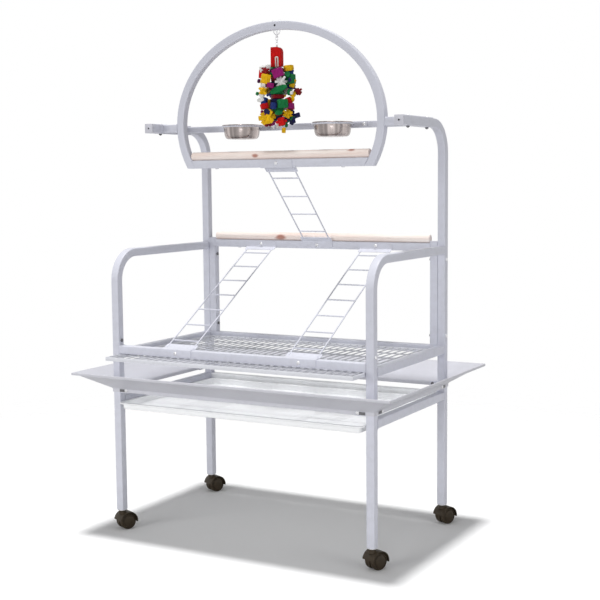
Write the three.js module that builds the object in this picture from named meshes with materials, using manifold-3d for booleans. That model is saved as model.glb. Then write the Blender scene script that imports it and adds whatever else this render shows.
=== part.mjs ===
// Parrot play stand: a square-tube stand on four twin-wheel casters, with a pull-out tray and wire
// grate, slanted seed guards, two side arms, a perch frame and a bolted-on arch that carries bowls,
// perches, ladders and a hanging toy. Millimetres, +Z up, front of the stand towards -Y.
// The origin is on the floor, below the middle of the stand.

import * as THREE from 'three';
import { mergeVertices } from 'three/addons/utils/BufferGeometryUtils.js';
import Module from 'manifold-3d';

const wasm = await Module();
wasm.setup();

// ---- Driving dimensions -------------------------------------------------------------------------

const GAP = 0.3; // between pieces that touch
const WELD = 0.1; // overlap of members welded into one piece

// square tube of the frame
const TUBE = 25.4;
const TUBE_WALL = 1.5;
const TUBE_CORNER = 2.3;
const LEG_SPACING_X = 880; // between leg centres
const LEG_SPACING_Y = 518;
const LEG_BOTTOM = 65; // above the floor
const LEG_TOP = 591; // also the top of the front deck rail
const LOWER_RAIL_Z = 417; // centre heights
const DECK_RAIL_Z = 564.3; // side and rear rails, lower than the front one so the grate passes it
const PLUG_LENGTH = 90;
const JOINT_BOLT_RISE = 15; // joint bolts above the top of the lower legs

// side arms and rear posts
const ARM_Z = 878;
const ARM_BEND = 85;
const POST_TOP_Z = 1270; // centre of the posts' forward ends
const POST_BEND = 90;
const POST_END_Y = -58; // forward ends, inside the sleeves
const BEND_STEPS = 6;

// perch frame between the rear posts
const MIDDLE_RAIL_Z = 887;
const INNER_POST_RISE = 4; // above the middle rail
const POST_BOLT_Z = 848;

// arch
const SLEEVE = 30;
const SLEEVE_FRONT_Y = -72;
const SLEEVE_REAR_Y = 146;
const SLEEVE_BOLTS_Y = [-10, 130];
const ARCH_Y = -5.5;
const ARCH_HALF_WIDTH = 369; // outside
const ARCH_CENTRE_Z = 1277; // of its ellipse
const ARCH_RISE = 307.5; // top of the arch above its centre
const ARCH_RAIL_Z = 1153;
const ARCH_STEPS = 30;
const BOWL_RAIL = 20;
const BOWL_RAIL_Y = 125;

// bowls in their rings
const BOWL_X = 163;
const BOWL_RIM = 63; // outside radius
const BOWL_BASE = 47;
const BOWL_HEIGHT = 45;
const BOWL_SHEET = 1.5;
const BOWL_TOP_Z = 1277;
const BOWL_SIDES = 20;
const RING_WIRE = 2.5; // radius
const STRAP = { thickness: 2, height: 18, left: 20, right: 86, bolt: 76 };

// perches
const PERCH_RADIUS = 13;
const PERCH_END_GAP = { upper: 0.5, lower: 2.6 }; // to the arch, and to the inner posts
const PERCH_SCREW_INSET = 90; // from the perch's ends

// ladders of wire, with folded end plates
const LADDER_X = 214;
const LADDER_GAUGE = 96; // between side wires
const LADDER_WIRE = 2.25; // radius
const LADDER_PITCH = 82;
const LOWER_RUNGS = 7;
const UPPER_RUNGS = 4;
const PLATE_WIDTH = 114;
const PLATE_SHEET = 1.5;
const PLATE_LAP = 18; // along the ladder
const PLATE_FLANGE = 21; // on the face of a rail

// seed guards
const GUARD_REACH = 92; // outwards from the legs
const GUARD_BOTTOM_Z = 444;
const GUARD_FOLD_Z = 456;
const GUARD_LIP_Z = 512;
const GUARD_LIP = 9;
const GUARD_SHEET = 1.5;
const GUARD_BOLT_INSET = 25; // from a leg's inner face
const GUARD_BOLT_Z = 450;
const BRACKET = { sheet: 2, height: 16, reach: 36, foot: 18 };

// tray and grate, on angle runners fixed to the side rails
const RUNNER = { side: 14, sheet: 1.5 };
const TRAY_RIM_Z = 414;
const TRAY_DEPTH = 21;
const TRAY_SHEET = 1.5;
const TRAY_RIM = 10;
const TRAY_CORNER = 14;
const TRAY_FRONT_Y = -291;
const TRAY_REAR_Y = 240;
const GRATE_FRONT_Y = -345;
const GRATE_REAR_Y = 240;
const GRATE_BAR = { width: 3, height: 12 };
const GRATE_TOP_Z = 565;
const GRATE_WIRE = 1.5; // radius
const GRATE_PITCH = 16;
const GRATE_CROSS_WIRES = 5;
const WIRE_SIDES = 4;
const SLIDE_CLEARANCE = 1.2; // at each side of the tray and grate

// casters
const CASTER_TURN = -25; // degrees, as parked
const CASTER_TRAIL = 13;
const WHEEL_RADIUS = 26;
const WHEEL_WIDTH = 19;
const WHEEL_SIDES = 16;
const WEB_WIDTH = 10;
const HOOD = { outer: 30.5, inner: 27.2, from: -8, to: 172 };
const STEM_RADIUS = 5.5;
const STEM_LENGTH = 30; // inside the leg
const AXLE_RADIUS = 4;
const STEM_SIDES = 10;
const INSERT_LENGTH = 34;

// toy
const HANGER = { radius: 10.8, wire: 1.6, drop: 16, stud: 2.2, eye: 4, eyeWire: 1.3 };
const TOY_LINK = { radius: 4.2, wire: 0.9, stretch: 1.5 };
const CHAIN_LINKS = 2;
const LINK = { radius: 3, wire: 0.8, stretch: 1.5 };
const BLOCK_EYE = 4; // height above the block
const TOY_BLOCK = { width: 42, height: 60, thickness: 20, round: 16 };
const TOY_TIERS = 6;
const TOY_BITS_PER_TIER = 5;
const TOY_REACH = 87; // of the longest bits from the middle
const TOY_BIT = { width: 19, height: 23 };
const TOY_CORE = 13;
const TOY_LENGTH = 205; // of the bundle, below the block

// fasteners
const BOLT = { shank: 2.9, head: 6, crown: 4, headHeight: 3, nut: 5.6, nutHeight: 4 };
const SCREW = { shank: 2, head: 4, headHeight: 2 };
const BOLT_SIDES = 6;

// tube caps
const CAP = { plate: 2, spigot: 9, boss: 5.5, bossHeight: 1.6, hole: 2.4 };
const NUT_IN_TUBE = 3; // height of a nut inside a rail
const HOLE_PLAY = 0.25;

// ---- Derived places -----------------------------------------------------------------------------

const legX = LEG_SPACING_X / 2;
const legY = LEG_SPACING_Y / 2;
const half = TUBE / 2;
const bore = TUBE - 2 * TUBE_WALL; // inside of the tube
const plugSize = bore - 2 * GAP;
const frontRailZ = LEG_TOP - half;
const jointBoltZ = LEG_TOP + JOINT_BOLT_RISE;
const innerPostX = legX - TUBE - GAP;
const innerPostTop = MIDDLE_RAIL_Z + half + INNER_POST_RISE;
const sleeveWall = (SLEEVE - TUBE) / 2 - GAP;
const archFront = ARCH_Y - half;
const ringRadius = BOWL_RIM - 0.7; // centreline of the ring, under the bowl's rim
const strapFrontY = BOWL_RAIL_Y - BOWL_RAIL / 2 - GAP - STRAP.thickness;
const bowlY = strapFrontY - GAP - ringRadius - RING_WIRE;
const armEnd = legY - half - GAP; // rear ends of the side arms
const archTop = ARCH_CENTRE_Z + ARCH_RISE;
const archUnder = archTop - TUBE;
const archA = ARCH_HALF_WIDTH - half; // half axes of the arch's centreline
const archB = ARCH_RISE - half;
const archRailDrop = ARCH_CENTRE_Z - ARCH_RAIL_Z;
const ellipseHalf = (a, b, drop) => a * Math.sqrt(1 - (drop / b) ** 2);
const upperPerchHalf = ellipseHalf(archA - half, archB - half, archRailDrop - half) - PERCH_END_GAP.upper;
const lowerPerchHalf = innerPostX - half - PERCH_END_GAP.lower;
const clearHole = (radius) => (radius + HOLE_PLAY) / Math.cos(Math.PI / BOLT_SIDES);
const boltHole = clearHole(BOLT.shank);
const screwHole = clearHole(SCREW.shank);
const slideHalf = legX - half - RUNNER.sheet - SLIDE_CLEARANCE; // half width of the tray and grate

// ---- Materials ----------------------------------------------------------------------------------

const paint = { color: 0xd3d4dd, roughness: 0.45, metalness: 0.15 };
const steel = { color: 0xb9bcc2, roughness: 0.25, metalness: 0.9 };
const zinc = { color: 0xc9ccd0, roughness: 0.4, metalness: 0.7 };
const white = { color: 0xf3f4f6, roughness: 0.4, metalness: 0.1 };
const wood = { color: 0xf0d3c0, roughness: 0.7, metalness: 0 };
const dark = { color: 0x3c342b, roughness: 0.6, metalness: 0 };
const plastic = { color: 0xdadbe2, roughness: 0.6, metalness: 0 };
const red = { color: 0xc8202a, roughness: 0.6, metalness: 0 };
const mixed = { color: 0xd9a21c, roughness: 0.6, metalness: 0 };

// ---- Booleans -----------------------------------------------------------------------------------

function solidOf(geometry) {
  const bare = geometry.clone();
  for (const name of Object.keys(bare.attributes)) {
    if (name !== 'position') bare.deleteAttribute(name);
  }
  const merged = mergeVertices(bare, 1e-4);
  const vertProperties = Float32Array.from(merged.attributes.position.array);
  const triVerts = Uint32Array.from(merged.index.array);
  return new wasm.Manifold(new wasm.Mesh({ numProp: 3, vertProperties, triVerts }));
}

function geometryOf(solid) {
  const mesh = solid.getMesh();
  const geometry = new THREE.BufferGeometry();
  geometry.setAttribute('position', new THREE.BufferAttribute(Float32Array.from(mesh.vertProperties), 3));
  geometry.setIndex(new THREE.BufferAttribute(Uint32Array.from(mesh.triVerts), 1));
  return geometry;
}

function union(...geometries) {
  return geometryOf(geometries.map(solidOf).reduce((all, next) => all.add(next)));
}

function cut(geometry, ...tools) {
  return geometryOf(tools.map(solidOf).reduce((all, next) => all.subtract(next), solidOf(geometry)));
}

function common(a, b) {
  return geometryOf(solidOf(a).intersect(solidOf(b)));
}

// The same piece for the other side of the stand.
function mirrored(geometry) {
  return geometryOf(solidOf(geometry).mirror([1, 0, 0]));
}

// ---- Shapes -------------------------------------------------------------------------------------

function box(x, y, z, at = [0, 0, 0]) {
  return new THREE.BoxGeometry(x, y, z).translate(...at);
}

// A cylinder between two corners of space, along one axis: 'x', 'y' or 'z'.
function rod(radius, from, to, axis, sides = 8) {
  const geometry = new THREE.CylinderGeometry(radius, radius, to - from, sides);
  geometry.translate(0, (from + to) / 2, 0);
  if (axis === 'x') geometry.rotateZ(-Math.PI / 2);
  if (axis === 'z') geometry.rotateX(Math.PI / 2);
  return geometry;
}

// A straight round bar between two points.
function bar(radius, from, to, sides) {
  const along = to.clone().sub(from);
  const geometry = new THREE.CylinderGeometry(radius, radius, along.length(), sides);
  const turn = new THREE.Quaternion().setFromUnitVectors(
    new THREE.Vector3(0, 1, 0), along.clone().normalize());
  const middle = from.clone().add(to).multiplyScalar(0.5);
  return geometry.applyQuaternion(turn).translate(middle.x, middle.y, middle.z);
}

// A rectangle about the origin with rounded corners of a few straight segments each.
function roundedRect(width, height, corner, segments = 1) {
  const points = [];
  for (const [x, y, start] of [[1, 1, 0], [-1, 1, 1], [-1, -1, 2], [1, -1, 3]]) {
    for (let i = 0; i <= segments; i += 1) {
      const angle = ((start + i / segments) * Math.PI) / 2;
      points.push(new THREE.Vector2(
        x * (width / 2 - corner) + corner * Math.cos(angle),
        y * (height / 2 - corner) + corner * Math.sin(angle),
      ));
    }
  }
  return new THREE.Shape(points);
}

function rectPath(width, height) {
  const x = width / 2;
  const y = height / 2;
  const corners = [[-x, -y], [-x, y], [x, y], [x, -y]];
  return new THREE.Path(corners.map(([a, b]) => new THREE.Vector2(a, b)));
}

function tubeSection(size, wall) {
  const shape = roundedRect(size, size, TUBE_CORNER);
  shape.holes.push(rectPath(size - 2 * wall, size - 2 * wall));
  return shape;
}

// A straight square tube along +Z from z = 0.
function straightTube(length, size = TUBE, wall = TUBE_WALL) {
  return new THREE.ExtrudeGeometry(tubeSection(size, wall), { depth: length, bevelEnabled: false });
}

// Round holes across a tube along Z: { at, axis, x, y, wall } where wall limits a hole to the side
// of the tube that faces that way (-1 or +1).
function crossHoles(geometry, holes) {
  const tools = holes.map(({ at, axis, x = 0, y = 0, wall = 0, radius = boltHole }) => {
    const from = wall === 1 ? 0 : -SLEEVE;
    const to = wall === -1 ? 0 : SLEEVE;
    return rod(radius, from, to, axis, BOLT_SIDES).translate(x, y, at);
  });
  return cut(geometry, ...tools);
}

// A centreline in space, known only at its stations: straight runs take a single step.
class StationPath extends THREE.Curve {
  constructor(stations) {
    super();
    this.stations = stations;
  }

  getUtoTmapping(u) {
    return u;
  }

  station(t) {
    return this.stations[Math.round(t * (this.stations.length - 1))];
  }

  getPoint(t, target = new THREE.Vector3()) {
    return target.copy(this.station(t).point);
  }

  getTangent(t, target = new THREE.Vector3()) {
    return target.copy(this.station(t).tangent);
  }
}

// Straight runs between corners, with bends of one radius.
function bentPath(corners, radius) {
  const direction = (i) => corners[i + 1].clone().sub(corners[i]).normalize();
  const stations = [{ point: corners[0], tangent: direction(0) }];
  for (let i = 1; i < corners.length - 1; i += 1) {
    const before = direction(i - 1);
    const turn = before.angleTo(direction(i));
    const axis = before.clone().cross(direction(i)).normalize();
    const start = corners[i].clone().addScaledVector(before, -radius * Math.tan(turn / 2));
    const centre = start.clone().addScaledVector(axis.clone().cross(before), radius);
    for (let step = 0; step <= BEND_STEPS; step += 1) {
      const angle = (turn * step) / BEND_STEPS;
      const spoke = start.clone().sub(centre).applyAxisAngle(axis, angle);
      const tangent = before.clone().applyAxisAngle(axis, angle);
      stations.push({ point: spoke.add(centre), tangent });
    }
  }
  const last = corners.length - 1;
  stations.push({ point: corners[last], tangent: direction(last - 1) });
  return new StationPath(stations);
}

function sweep(section, path) {
  return new THREE.ExtrudeGeometry(section, {
    steps: path.stations.length - 1,
    extrudePath: path,
  });
}

// The outline of a folded strip of sheet: the points run along one face, and the sheet lies to the
// left of them.
function foldedStrip(points, sheet) {
  const line = points.map(([x, y]) => new THREE.Vector2(x, y));
  const normal = (i) => {
    const along = line[i + 1].clone().sub(line[i]).normalize();
    return new THREE.Vector2(-along.y, along.x);
  };
  const offset = line.map((point, i) => {
    if (i === 0) return point.clone().addScaledVector(normal(0), sheet);
    if (i === line.length - 1) return point.clone().addScaledVector(normal(i - 1), sheet);
    const sum = normal(i - 1).add(normal(i));
    return point.clone().addScaledVector(sum, (2 * sheet) / sum.lengthSq());
  });
  return new THREE.Shape([...line, ...offset.reverse()]);
}

// Extrude an outline drawn in (y, z) along X, centred on x = 0.
function extrudeAlongX(shape, width, curveSegments = 4) {
  const geometry = new THREE.ExtrudeGeometry(shape, { depth: width, bevelEnabled: false, curveSegments });
  geometry.translate(0, 0, -width / 2);
  geometry.rotateY(Math.PI / 2);
  geometry.rotateX(Math.PI / 2);
  return geometry;
}

// A profile of [radius, height] pairs, from bottom to top, turned about Z.
function turned(profile, sides) {
  const points = profile.map(([x, y]) => new THREE.Vector2(x, y));
  return new THREE.LatheGeometry(points, sides).rotateX(Math.PI / 2);
}

function torus(radius, wire, around, along) {
  return new THREE.TorusGeometry(radius, wire, around, along);
}

// ---- Fasteners ----------------------------------------------------------------------------------

// A domed bolt along Z: the head's underside is at z = 0, the shank goes down through the grip.
function domedBolt(grip, nutHeight = BOLT.nutHeight) {
  const { shank, head, crown, headHeight, nut } = BOLT;
  const tip = [[0, -grip - nutHeight], [nut, -grip - nutHeight], [nut, -grip], [shank, -grip]];
  const dome = [[shank, 0], [head, 0], [crown, headHeight], [0, headHeight]];
  return turned([...tip, ...dome], BOLT_SIDES);
}

// A bolt with no nut, for a threaded hole.
function domedScrew(length) {
  const { shank, head, crown, headHeight } = BOLT;
  return turned([[0, -length], [shank, -length], [shank, 0], [head, 0], [crown, headHeight],
    [0, headHeight]], BOLT_SIDES);
}

// A wood screw along Z, head down at z = 0.
function woodScrew(length) {
  const { shank, head, headHeight } = SCREW;
  return turned([[0, 0], [head * 0.7, 0], [head, headHeight], [shank, headHeight], [shank, length],
    [0, length]], BOLT_SIDES);
}

// Turn a bolt made along Z so that its head points along a unit direction, and put it at a place.
function aim(geometry, direction, at) {
  const turn = new THREE.Quaternion().setFromUnitVectors(
    new THREE.Vector3(0, 0, 1), new THREE.Vector3(...direction));
  return geometry.applyQuaternion(turn).translate(...at);
}

// ---- Scene graph --------------------------------------------------------------------------------

const stand = new THREE.Group();

function add(name, geometry, look, position = [0, 0, 0], rotation = [0, 0, 0]) {
  const mesh = new THREE.Mesh(geometry, new THREE.MeshStandardMaterial(look));
  mesh.name = name;
  mesh.position.set(...position);
  mesh.rotation.set(...rotation);
  stand.add(mesh);
  return mesh;
}

const ALONG_X = [0, Math.PI / 2, 0];
const SIDES = [['left', -1], ['right', 1]];
const ENDS = [['front', -1], ['rear', 1]];
const CORNERS = ENDS.flatMap(([end, y]) => SIDES.map(([side, x]) => [`${end}_${side}`, x, y]));

// ---- Lower frame --------------------------------------------------------------------------------

// A side rail along Y, centred on its own middle, with an angle welded to its inner face. The
// angle's ledge, at a height above the rail's middle, carries the tray or the grate.
function sideRail(side, ledge) {
  const length = 2 * (legY - half - GAP);
  const { side: leg, sheet } = RUNNER;
  const tube = straightTube(length).translate(0, 0, -length / 2).rotateX(-Math.PI / 2);
  const face = half - WELD;
  const shelf = box(leg + WELD, length, sheet, [-side * (face + leg / 2), 0, ledge - sheet / 2]);
  const upright = box(sheet + WELD, length, leg, [-side * (face + sheet / 2), 0, ledge + leg / 2 - sheet]);
  return union(tube, shelf, upright);
}

// A tab for the bolt of a seed guard, flush with the leg's outer face, on a foot against the face
// beside it. It is drawn for the leg at the right of the rear, for the guard behind it.
function guardTab() {
  const { sheet, height, reach, foot } = BRACKET;
  const tab = box(reach + WELD, sheet, height, [-half - reach / 2 + WELD / 2, half - sheet / 2, 0]);
  const base = box(sheet + WELD, foot, height, [-half - sheet / 2 + WELD / 2, half - foot / 2, 0]);
  const hole = rod(boltHole, -TUBE, TUBE, 'y', BOLT_SIDES).translate(-half - GUARD_BOLT_INSET, 0, 0);
  return cut(union(tab, base), hole);
}

// A leg for the rear right corner: a square tube with a spigot for the next tube at its top, and two
// tabs for the seed guards.
function leg() {
  const tube = straightTube(LEG_TOP - LEG_BOTTOM).translate(0, 0, LEG_BOTTOM);
  const spigotHalf = PLUG_LENGTH / 2;
  const spigot = crossHoles(straightTube(PLUG_LENGTH, plugSize),
    [{ at: spigotHalf + JOINT_BOLT_RISE, axis: 'x' }]).translate(0, 0, LEG_TOP - spigotHalf);
  const inside = plugSize - 2 * TUBE_WALL;
  const liner = cut(box(bore + 2 * WELD, bore + 2 * WELD, spigotHalf, [0, 0, LEG_TOP - spigotHalf / 2]),
    box(inside, inside, LEG_TOP, [0, 0, LEG_TOP]));
  const tab = guardTab().translate(0, 0, GUARD_BOLT_Z);
  const otherTab = mirrored(tab).rotateZ(-Math.PI / 2);
  return union(tube, spigot, liner, tab, otherTab);
}

function addLowerFrame() {
  const right = leg();
  const left = mirrored(right);
  for (const [name, x, y] of CORNERS) {
    // half a turn takes the rear pieces to the front
    const geometry = x * y > 0 ? right : left;
    add(`${name}_leg`, geometry, paint, [x * legX, y * legY, 0], [0, 0, y < 0 ? Math.PI : 0]);
  }
  const acrossX = 2 * (legX - half - GAP);
  const railBolts = [-LADDER_X, LADDER_X].map((x) => ({ at: acrossX / 2 + x, axis: 'y', wall: -1 }));
  const frontRail = crossHoles(straightTube(acrossX), railBolts);
  add('front_deck_rail', frontRail, paint, [-acrossX / 2, -legY, frontRailZ], ALONG_X);
  add('rear_deck_rail', straightTube(acrossX), paint, [-acrossX / 2, legY, DECK_RAIL_Z], ALONG_X);
  add('rear_lower_rail', straightTube(acrossX), paint, [-acrossX / 2, legY, LOWER_RAIL_Z], ALONG_X);
  const grateLedge = GRATE_TOP_Z - GRATE_BAR.height - GAP;
  const trayLedge = TRAY_RIM_Z - TRAY_SHEET - GAP;
  for (const [side, x] of SIDES) {
    add(`${side}_deck_rail`, sideRail(x, grateLedge - DECK_RAIL_Z), paint, [x * legX, 0, DECK_RAIL_Z]);
    add(`${side}_lower_rail`, sideRail(x, trayLedge - LOWER_RAIL_Z), paint, [x * legX, 0, LOWER_RAIL_Z]);
  }
}

// ---- Tray and grate -----------------------------------------------------------------------------

function traySlab(halfWidth, length, corner, height) {
  const shape = roundedRect(2 * halfWidth, length, corner, 3);
  return new THREE.ExtrudeGeometry(shape, { depth: height, bevelEnabled: false });
}

function addTray() {
  const length = TRAY_REAR_Y - TRAY_FRONT_Y;
  const bodyHalf = slideHalf - RUNNER.side;
  const bodyLength = length - 2 * TRAY_RIM;
  const body = traySlab(bodyHalf, bodyLength, TRAY_CORNER, TRAY_DEPTH);
  const rim = traySlab(slideHalf, length, TRAY_CORNER, TRAY_SHEET)
    .translate(0, 0, TRAY_DEPTH - TRAY_SHEET);
  const hollow = traySlab(bodyHalf - TRAY_SHEET, bodyLength - 2 * TRAY_SHEET,
    TRAY_CORNER - TRAY_SHEET, TRAY_DEPTH).translate(0, 0, TRAY_SHEET);
  const tray = cut(union(body, rim), hollow);
  add('tray', tray, white, [0, (TRAY_FRONT_Y + TRAY_REAR_Y) / 2, TRAY_RIM_Z - TRAY_DEPTH]);
}

// Flat bars all round, with close wires from front to rear over a few cross wires.
function addGrate() {
  const { width, height } = GRATE_BAR;
  const length = GRATE_REAR_Y - GRATE_FRONT_Y;
  const sideX = slideHalf - width / 2;
  const wireZ = height - GRATE_WIRE - 1;
  const parts = [
    box(2 * slideHalf, width, height, [0, width / 2, height / 2]),
    box(2 * slideHalf, width, height, [0, length - width / 2, height / 2]),
    ...[-1, 1].map((x) => box(width, length, height, [x * sideX, length / 2, height / 2])),
  ];
  const count = Math.floor((2 * sideX) / GRATE_PITCH) - 1;
  for (let i = 0; i < count; i += 1) {
    const x = (i - (count - 1) / 2) * GRATE_PITCH;
    parts.push(rod(GRATE_WIRE, width / 2, length - width / 2, 'y', WIRE_SIDES).translate(x, 0, wireZ));
  }
  const crossZ = wireZ - 2 * GRATE_WIRE - GAP;
  for (let i = 1; i <= GRATE_CROSS_WIRES; i += 1) {
    const y = (i * length) / (GRATE_CROSS_WIRES + 1);
    parts.push(rod(GRATE_WIRE, -sideX, sideX, 'x', WIRE_SIDES).translate(0, y, crossZ));
  }
  const bottom = GRATE_TOP_Z - height;
  add('grate', union(...parts), zinc, [0, GRATE_FRONT_Y, bottom]);
}

// ---- Seed guards --------------------------------------------------------------------------------

// One guard, along X, sloping outwards to -Y from y = 0 at the face of the legs, with its two bolts.
function guard(alongHalf) {
  const full = alongHalf + GUARD_REACH;
  const outline = foldedStrip([
    [-GAP, GUARD_BOTTOM_Z],
    [-GAP, GUARD_FOLD_Z],
    [-GUARD_REACH, GUARD_LIP_Z],
    [-GUARD_REACH, GUARD_LIP_Z - GUARD_LIP],
  ], GUARD_SHEET);
  const sheet = extrudeAlongX(outline, 2 * full + TUBE);
  const trim = GAP / Math.SQRT2;
  const outer = GUARD_REACH + TUBE;
  const plan = new THREE.Shape([[-alongHalf + trim, 0], [-alongHalf - outer + trim, -outer],
    [alongHalf + outer - trim, -outer], [alongHalf - trim, 0]]
    .map(([x, y]) => new THREE.Vector2(x, y)));
  const wedge = new THREE.ExtrudeGeometry(plan, { depth: GUARD_LIP_Z + TUBE, bevelEnabled: false });
  const grip = GUARD_SHEET + GAP + BRACKET.sheet + GAP + WELD;
  const bolts = [-1, 1].map((x) => aim(domedBolt(grip), [0, -1, 0],
    [x * (alongHalf - TUBE - GUARD_BOLT_INSET), -GAP - GUARD_SHEET + WELD, GUARD_BOLT_Z]));
  return union(common(sheet, wedge), ...bolts);
}

// Quarter turns that bring a piece made for the front to each side of the stand.
const AROUND = [
  ['front', 0, legX + half, legY + half],
  ['right', 1, legY + half, legX + half],
  ['rear', 2, legX + half, legY + half],
  ['left', 3, legY + half, legX + half],
];

function addGuards() {
  for (const [side, turn, alongHalf, out] of AROUND) {
    const angle = (turn * Math.PI) / 2;
    const at = [Math.sin(angle) * out, -Math.cos(angle) * out, 0];
    add(`${side}_guard`, guard(alongHalf), paint, at, [0, 0, angle]);
  }
}

// ---- Arms and posts -----------------------------------------------------------------------------

const v = (x, y, z) => new THREE.Vector3(x, y, z);

// Right side arm: up from the front leg, round a bend and back to the rear post, where its end
// holds a threaded block.
function sideArm() {
  const start = LEG_TOP + GAP;
  const path = bentPath([v(0, -legY, start), v(0, -legY, ARM_Z), v(0, armEnd, ARM_Z)], ARM_BEND);
  const bolt = aim(domedBolt(TUBE), [1, 0, 0], [half - WELD, -legY, jointBoltZ]);
  const block = cut(box(bore + 2 * WELD, TUBE, bore + 2 * WELD, [0, armEnd - half, ARM_Z]),
    rod(boltHole, armEnd - TUBE * 0.9, armEnd + TUBE, 'y', BOLT_SIDES).translate(0, 0, ARM_Z));
  return union(sweep(tubeSection(TUBE, TUBE_WALL), path), bolt, block);
}

// Right rear post: up from the rear leg, round a bend and forward into its sleeve. Its bolts go
// through the leg's spigot, through the inner post beside it and into the end of the side arm.
function rearPost() {
  const start = LEG_TOP + GAP;
  const path = bentPath([v(0, legY, start), v(0, legY, POST_TOP_Z), v(0, POST_END_Y, POST_TOP_Z)],
    POST_BEND);
  const holes = SLEEVE_BOLTS_Y.map((y) => (
    rod(boltHole, -TUBE, TUBE, 'z', BOLT_SIDES).translate(0, y, POST_TOP_Z)));
  const tube = cut(sweep(tubeSection(TUBE, TUBE_WALL), path), ...holes);
  const grip = 2 * TUBE + 2 * GAP + WELD;
  const bolts = [jointBoltZ, POST_BOLT_Z].map((z) => (
    aim(domedBolt(grip), [1, 0, 0], [half - WELD, legY, z])));
  const armBolt = aim(domedScrew(TUBE * 1.6), [0, 1, 0], [0, legY + half - WELD, ARM_Z]);
  return union(tube, ...bolts, armBolt);
}

function addArmsAndPosts() {
  const arm = sideArm();
  const post = rearPost();
  add('right_side_arm', arm, paint, [legX, 0, 0]);
  add('left_side_arm', mirrored(arm), paint, [-legX, 0, 0]);
  add('right_rear_post', post, paint, [legX, 0, 0]);
  add('left_rear_post', mirrored(post), paint, [-legX, 0, 0]);
}

function addPerchFrame() {
  const foot = DECK_RAIL_Z + half + GAP;
  const height = innerPostTop - foot;
  const innerPost = crossHoles(straightTube(height),
    [jointBoltZ, POST_BOLT_Z].map((z) => ({ at: z - foot, axis: 'x' })));
  for (const [side, x] of SIDES) {
    add(`${side}_inner_post`, innerPost, paint, [x * innerPostX, legY, foot]);
  }
  const span = 2 * (innerPostX - half - GAP);
  const ladderHoles = [-LADDER_X, 0, LADDER_X].map((x) => ({ at: span / 2 + x, axis: 'y', wall: -1 }));
  const screwHoles = [-1, 1].map((x) => (
    { at: span / 2 + x * (lowerPerchHalf - PERCH_SCREW_INSET), axis: 'x', radius: screwHole }));
  const rail = crossHoles(straightTube(span), [...ladderHoles, ...screwHoles]);
  add('middle_rail', rail, paint, [-span / 2, legY, MIDDLE_RAIL_Z], ALONG_X);
  return span;
}

// Pressed-in covers of open tube ends: a plate with a square spigot, made facing +Z.
function endCap(size, inside, plate) {
  const cover = new THREE.ExtrudeGeometry(roundedRect(size, size, TUBE_CORNER),
    { depth: plate, bevelEnabled: false });
  return union(cover, box(inside, inside, CAP.spigot + WELD, [0, 0, (WELD - CAP.spigot) / 2]));
}

function addEndCaps() {
  const postCap = endCap(TUBE, plugSize, CAP.plate);
  const inside = SLEEVE - 2 * sleeveWall - 2 * GAP;
  const boss = rod(CAP.boss, 0, CAP.plate + CAP.bossHeight, 'z', 12);
  const hole = rod(CAP.hole, -SLEEVE, SLEEVE, 'z', 8);
  const sleeveCap = cut(union(endCap(SLEEVE, inside, CAP.plate), boss), hole).rotateX(Math.PI / 2);
  for (const [side, x] of SIDES) {
    add(`${side}_post_cap`, postCap, plastic, [x * innerPostX, legY, innerPostTop + GAP]);
    add(`${side}_sleeve_cap`, sleeveCap, plastic, [x * legX, SLEEVE_FRONT_Y - GAP, POST_TOP_Z]);
  }
}

// ---- Arch ---------------------------------------------------------------------------------------

// The hoop's centreline, an ellipse, from below the bottom rail on the right over the top.
function archPath(start) {
  const stations = [];
  for (let i = 0; i <= ARCH_STEPS; i += 1) {
    const angle = start + ((Math.PI - 2 * start) * i) / ARCH_STEPS;
    const point = v(archA * Math.cos(angle), ARCH_Y, ARCH_CENTRE_Z + archB * Math.sin(angle));
    const tangent = v(-archA * Math.sin(angle), 0, archB * Math.cos(angle)).normalize();
    stations.push({ point, tangent });
  }
  return new StationPath(stations);
}

// A hoop of bent tube, with a straight rail between its lower ends.
function addArch() {
  const path = archPath(-Math.asin((archRailDrop + 2 * TUBE) / archB));
  const reach = 4 * ARCH_HALF_WIDTH;
  const below = box(reach, 4 * TUBE, reach, [0, ARCH_Y, ARCH_RAIL_Z - half - reach / 2]);
  const hangerHoles = [-1, 1].map((x) => (
    rod(clearHole(HANGER.wire), archUnder - TUBE, archTop + TUBE, 'z', BOLT_SIDES)
      .translate(x * HANGER.radius, ARCH_Y, 0)));
  const frontHole = rod(boltHole, ARCH_Y - TUBE, ARCH_Y, 'y', BOLT_SIDES)
    .translate(0, 0, archTop - half);
  const hoop = sweep(tubeSection(TUBE, TUBE_WALL), path);
  add('arch', cut(hoop, below, frontHole, ...hangerHoles), paint);

  const envelope = sweep(roundedRect(TUBE + 2 * GAP, TUBE + 2 * GAP, TUBE_CORNER), path);
  const railHalf = ellipseHalf(archA, archB, archRailDrop);
  const holes = [-1, 1].map((x) => (
    { at: railHalf + x * (upperPerchHalf - PERCH_SCREW_INSET), axis: 'x', radius: screwHole }));
  const rail = crossHoles(straightTube(2 * railHalf), [{ at: railHalf, axis: 'y', wall: -1 }, ...holes])
    .rotateY(Math.PI / 2).translate(-railHalf, ARCH_Y, ARCH_RAIL_Z);
  add('arch_rail', cut(rail, envelope), paint);
}

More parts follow.
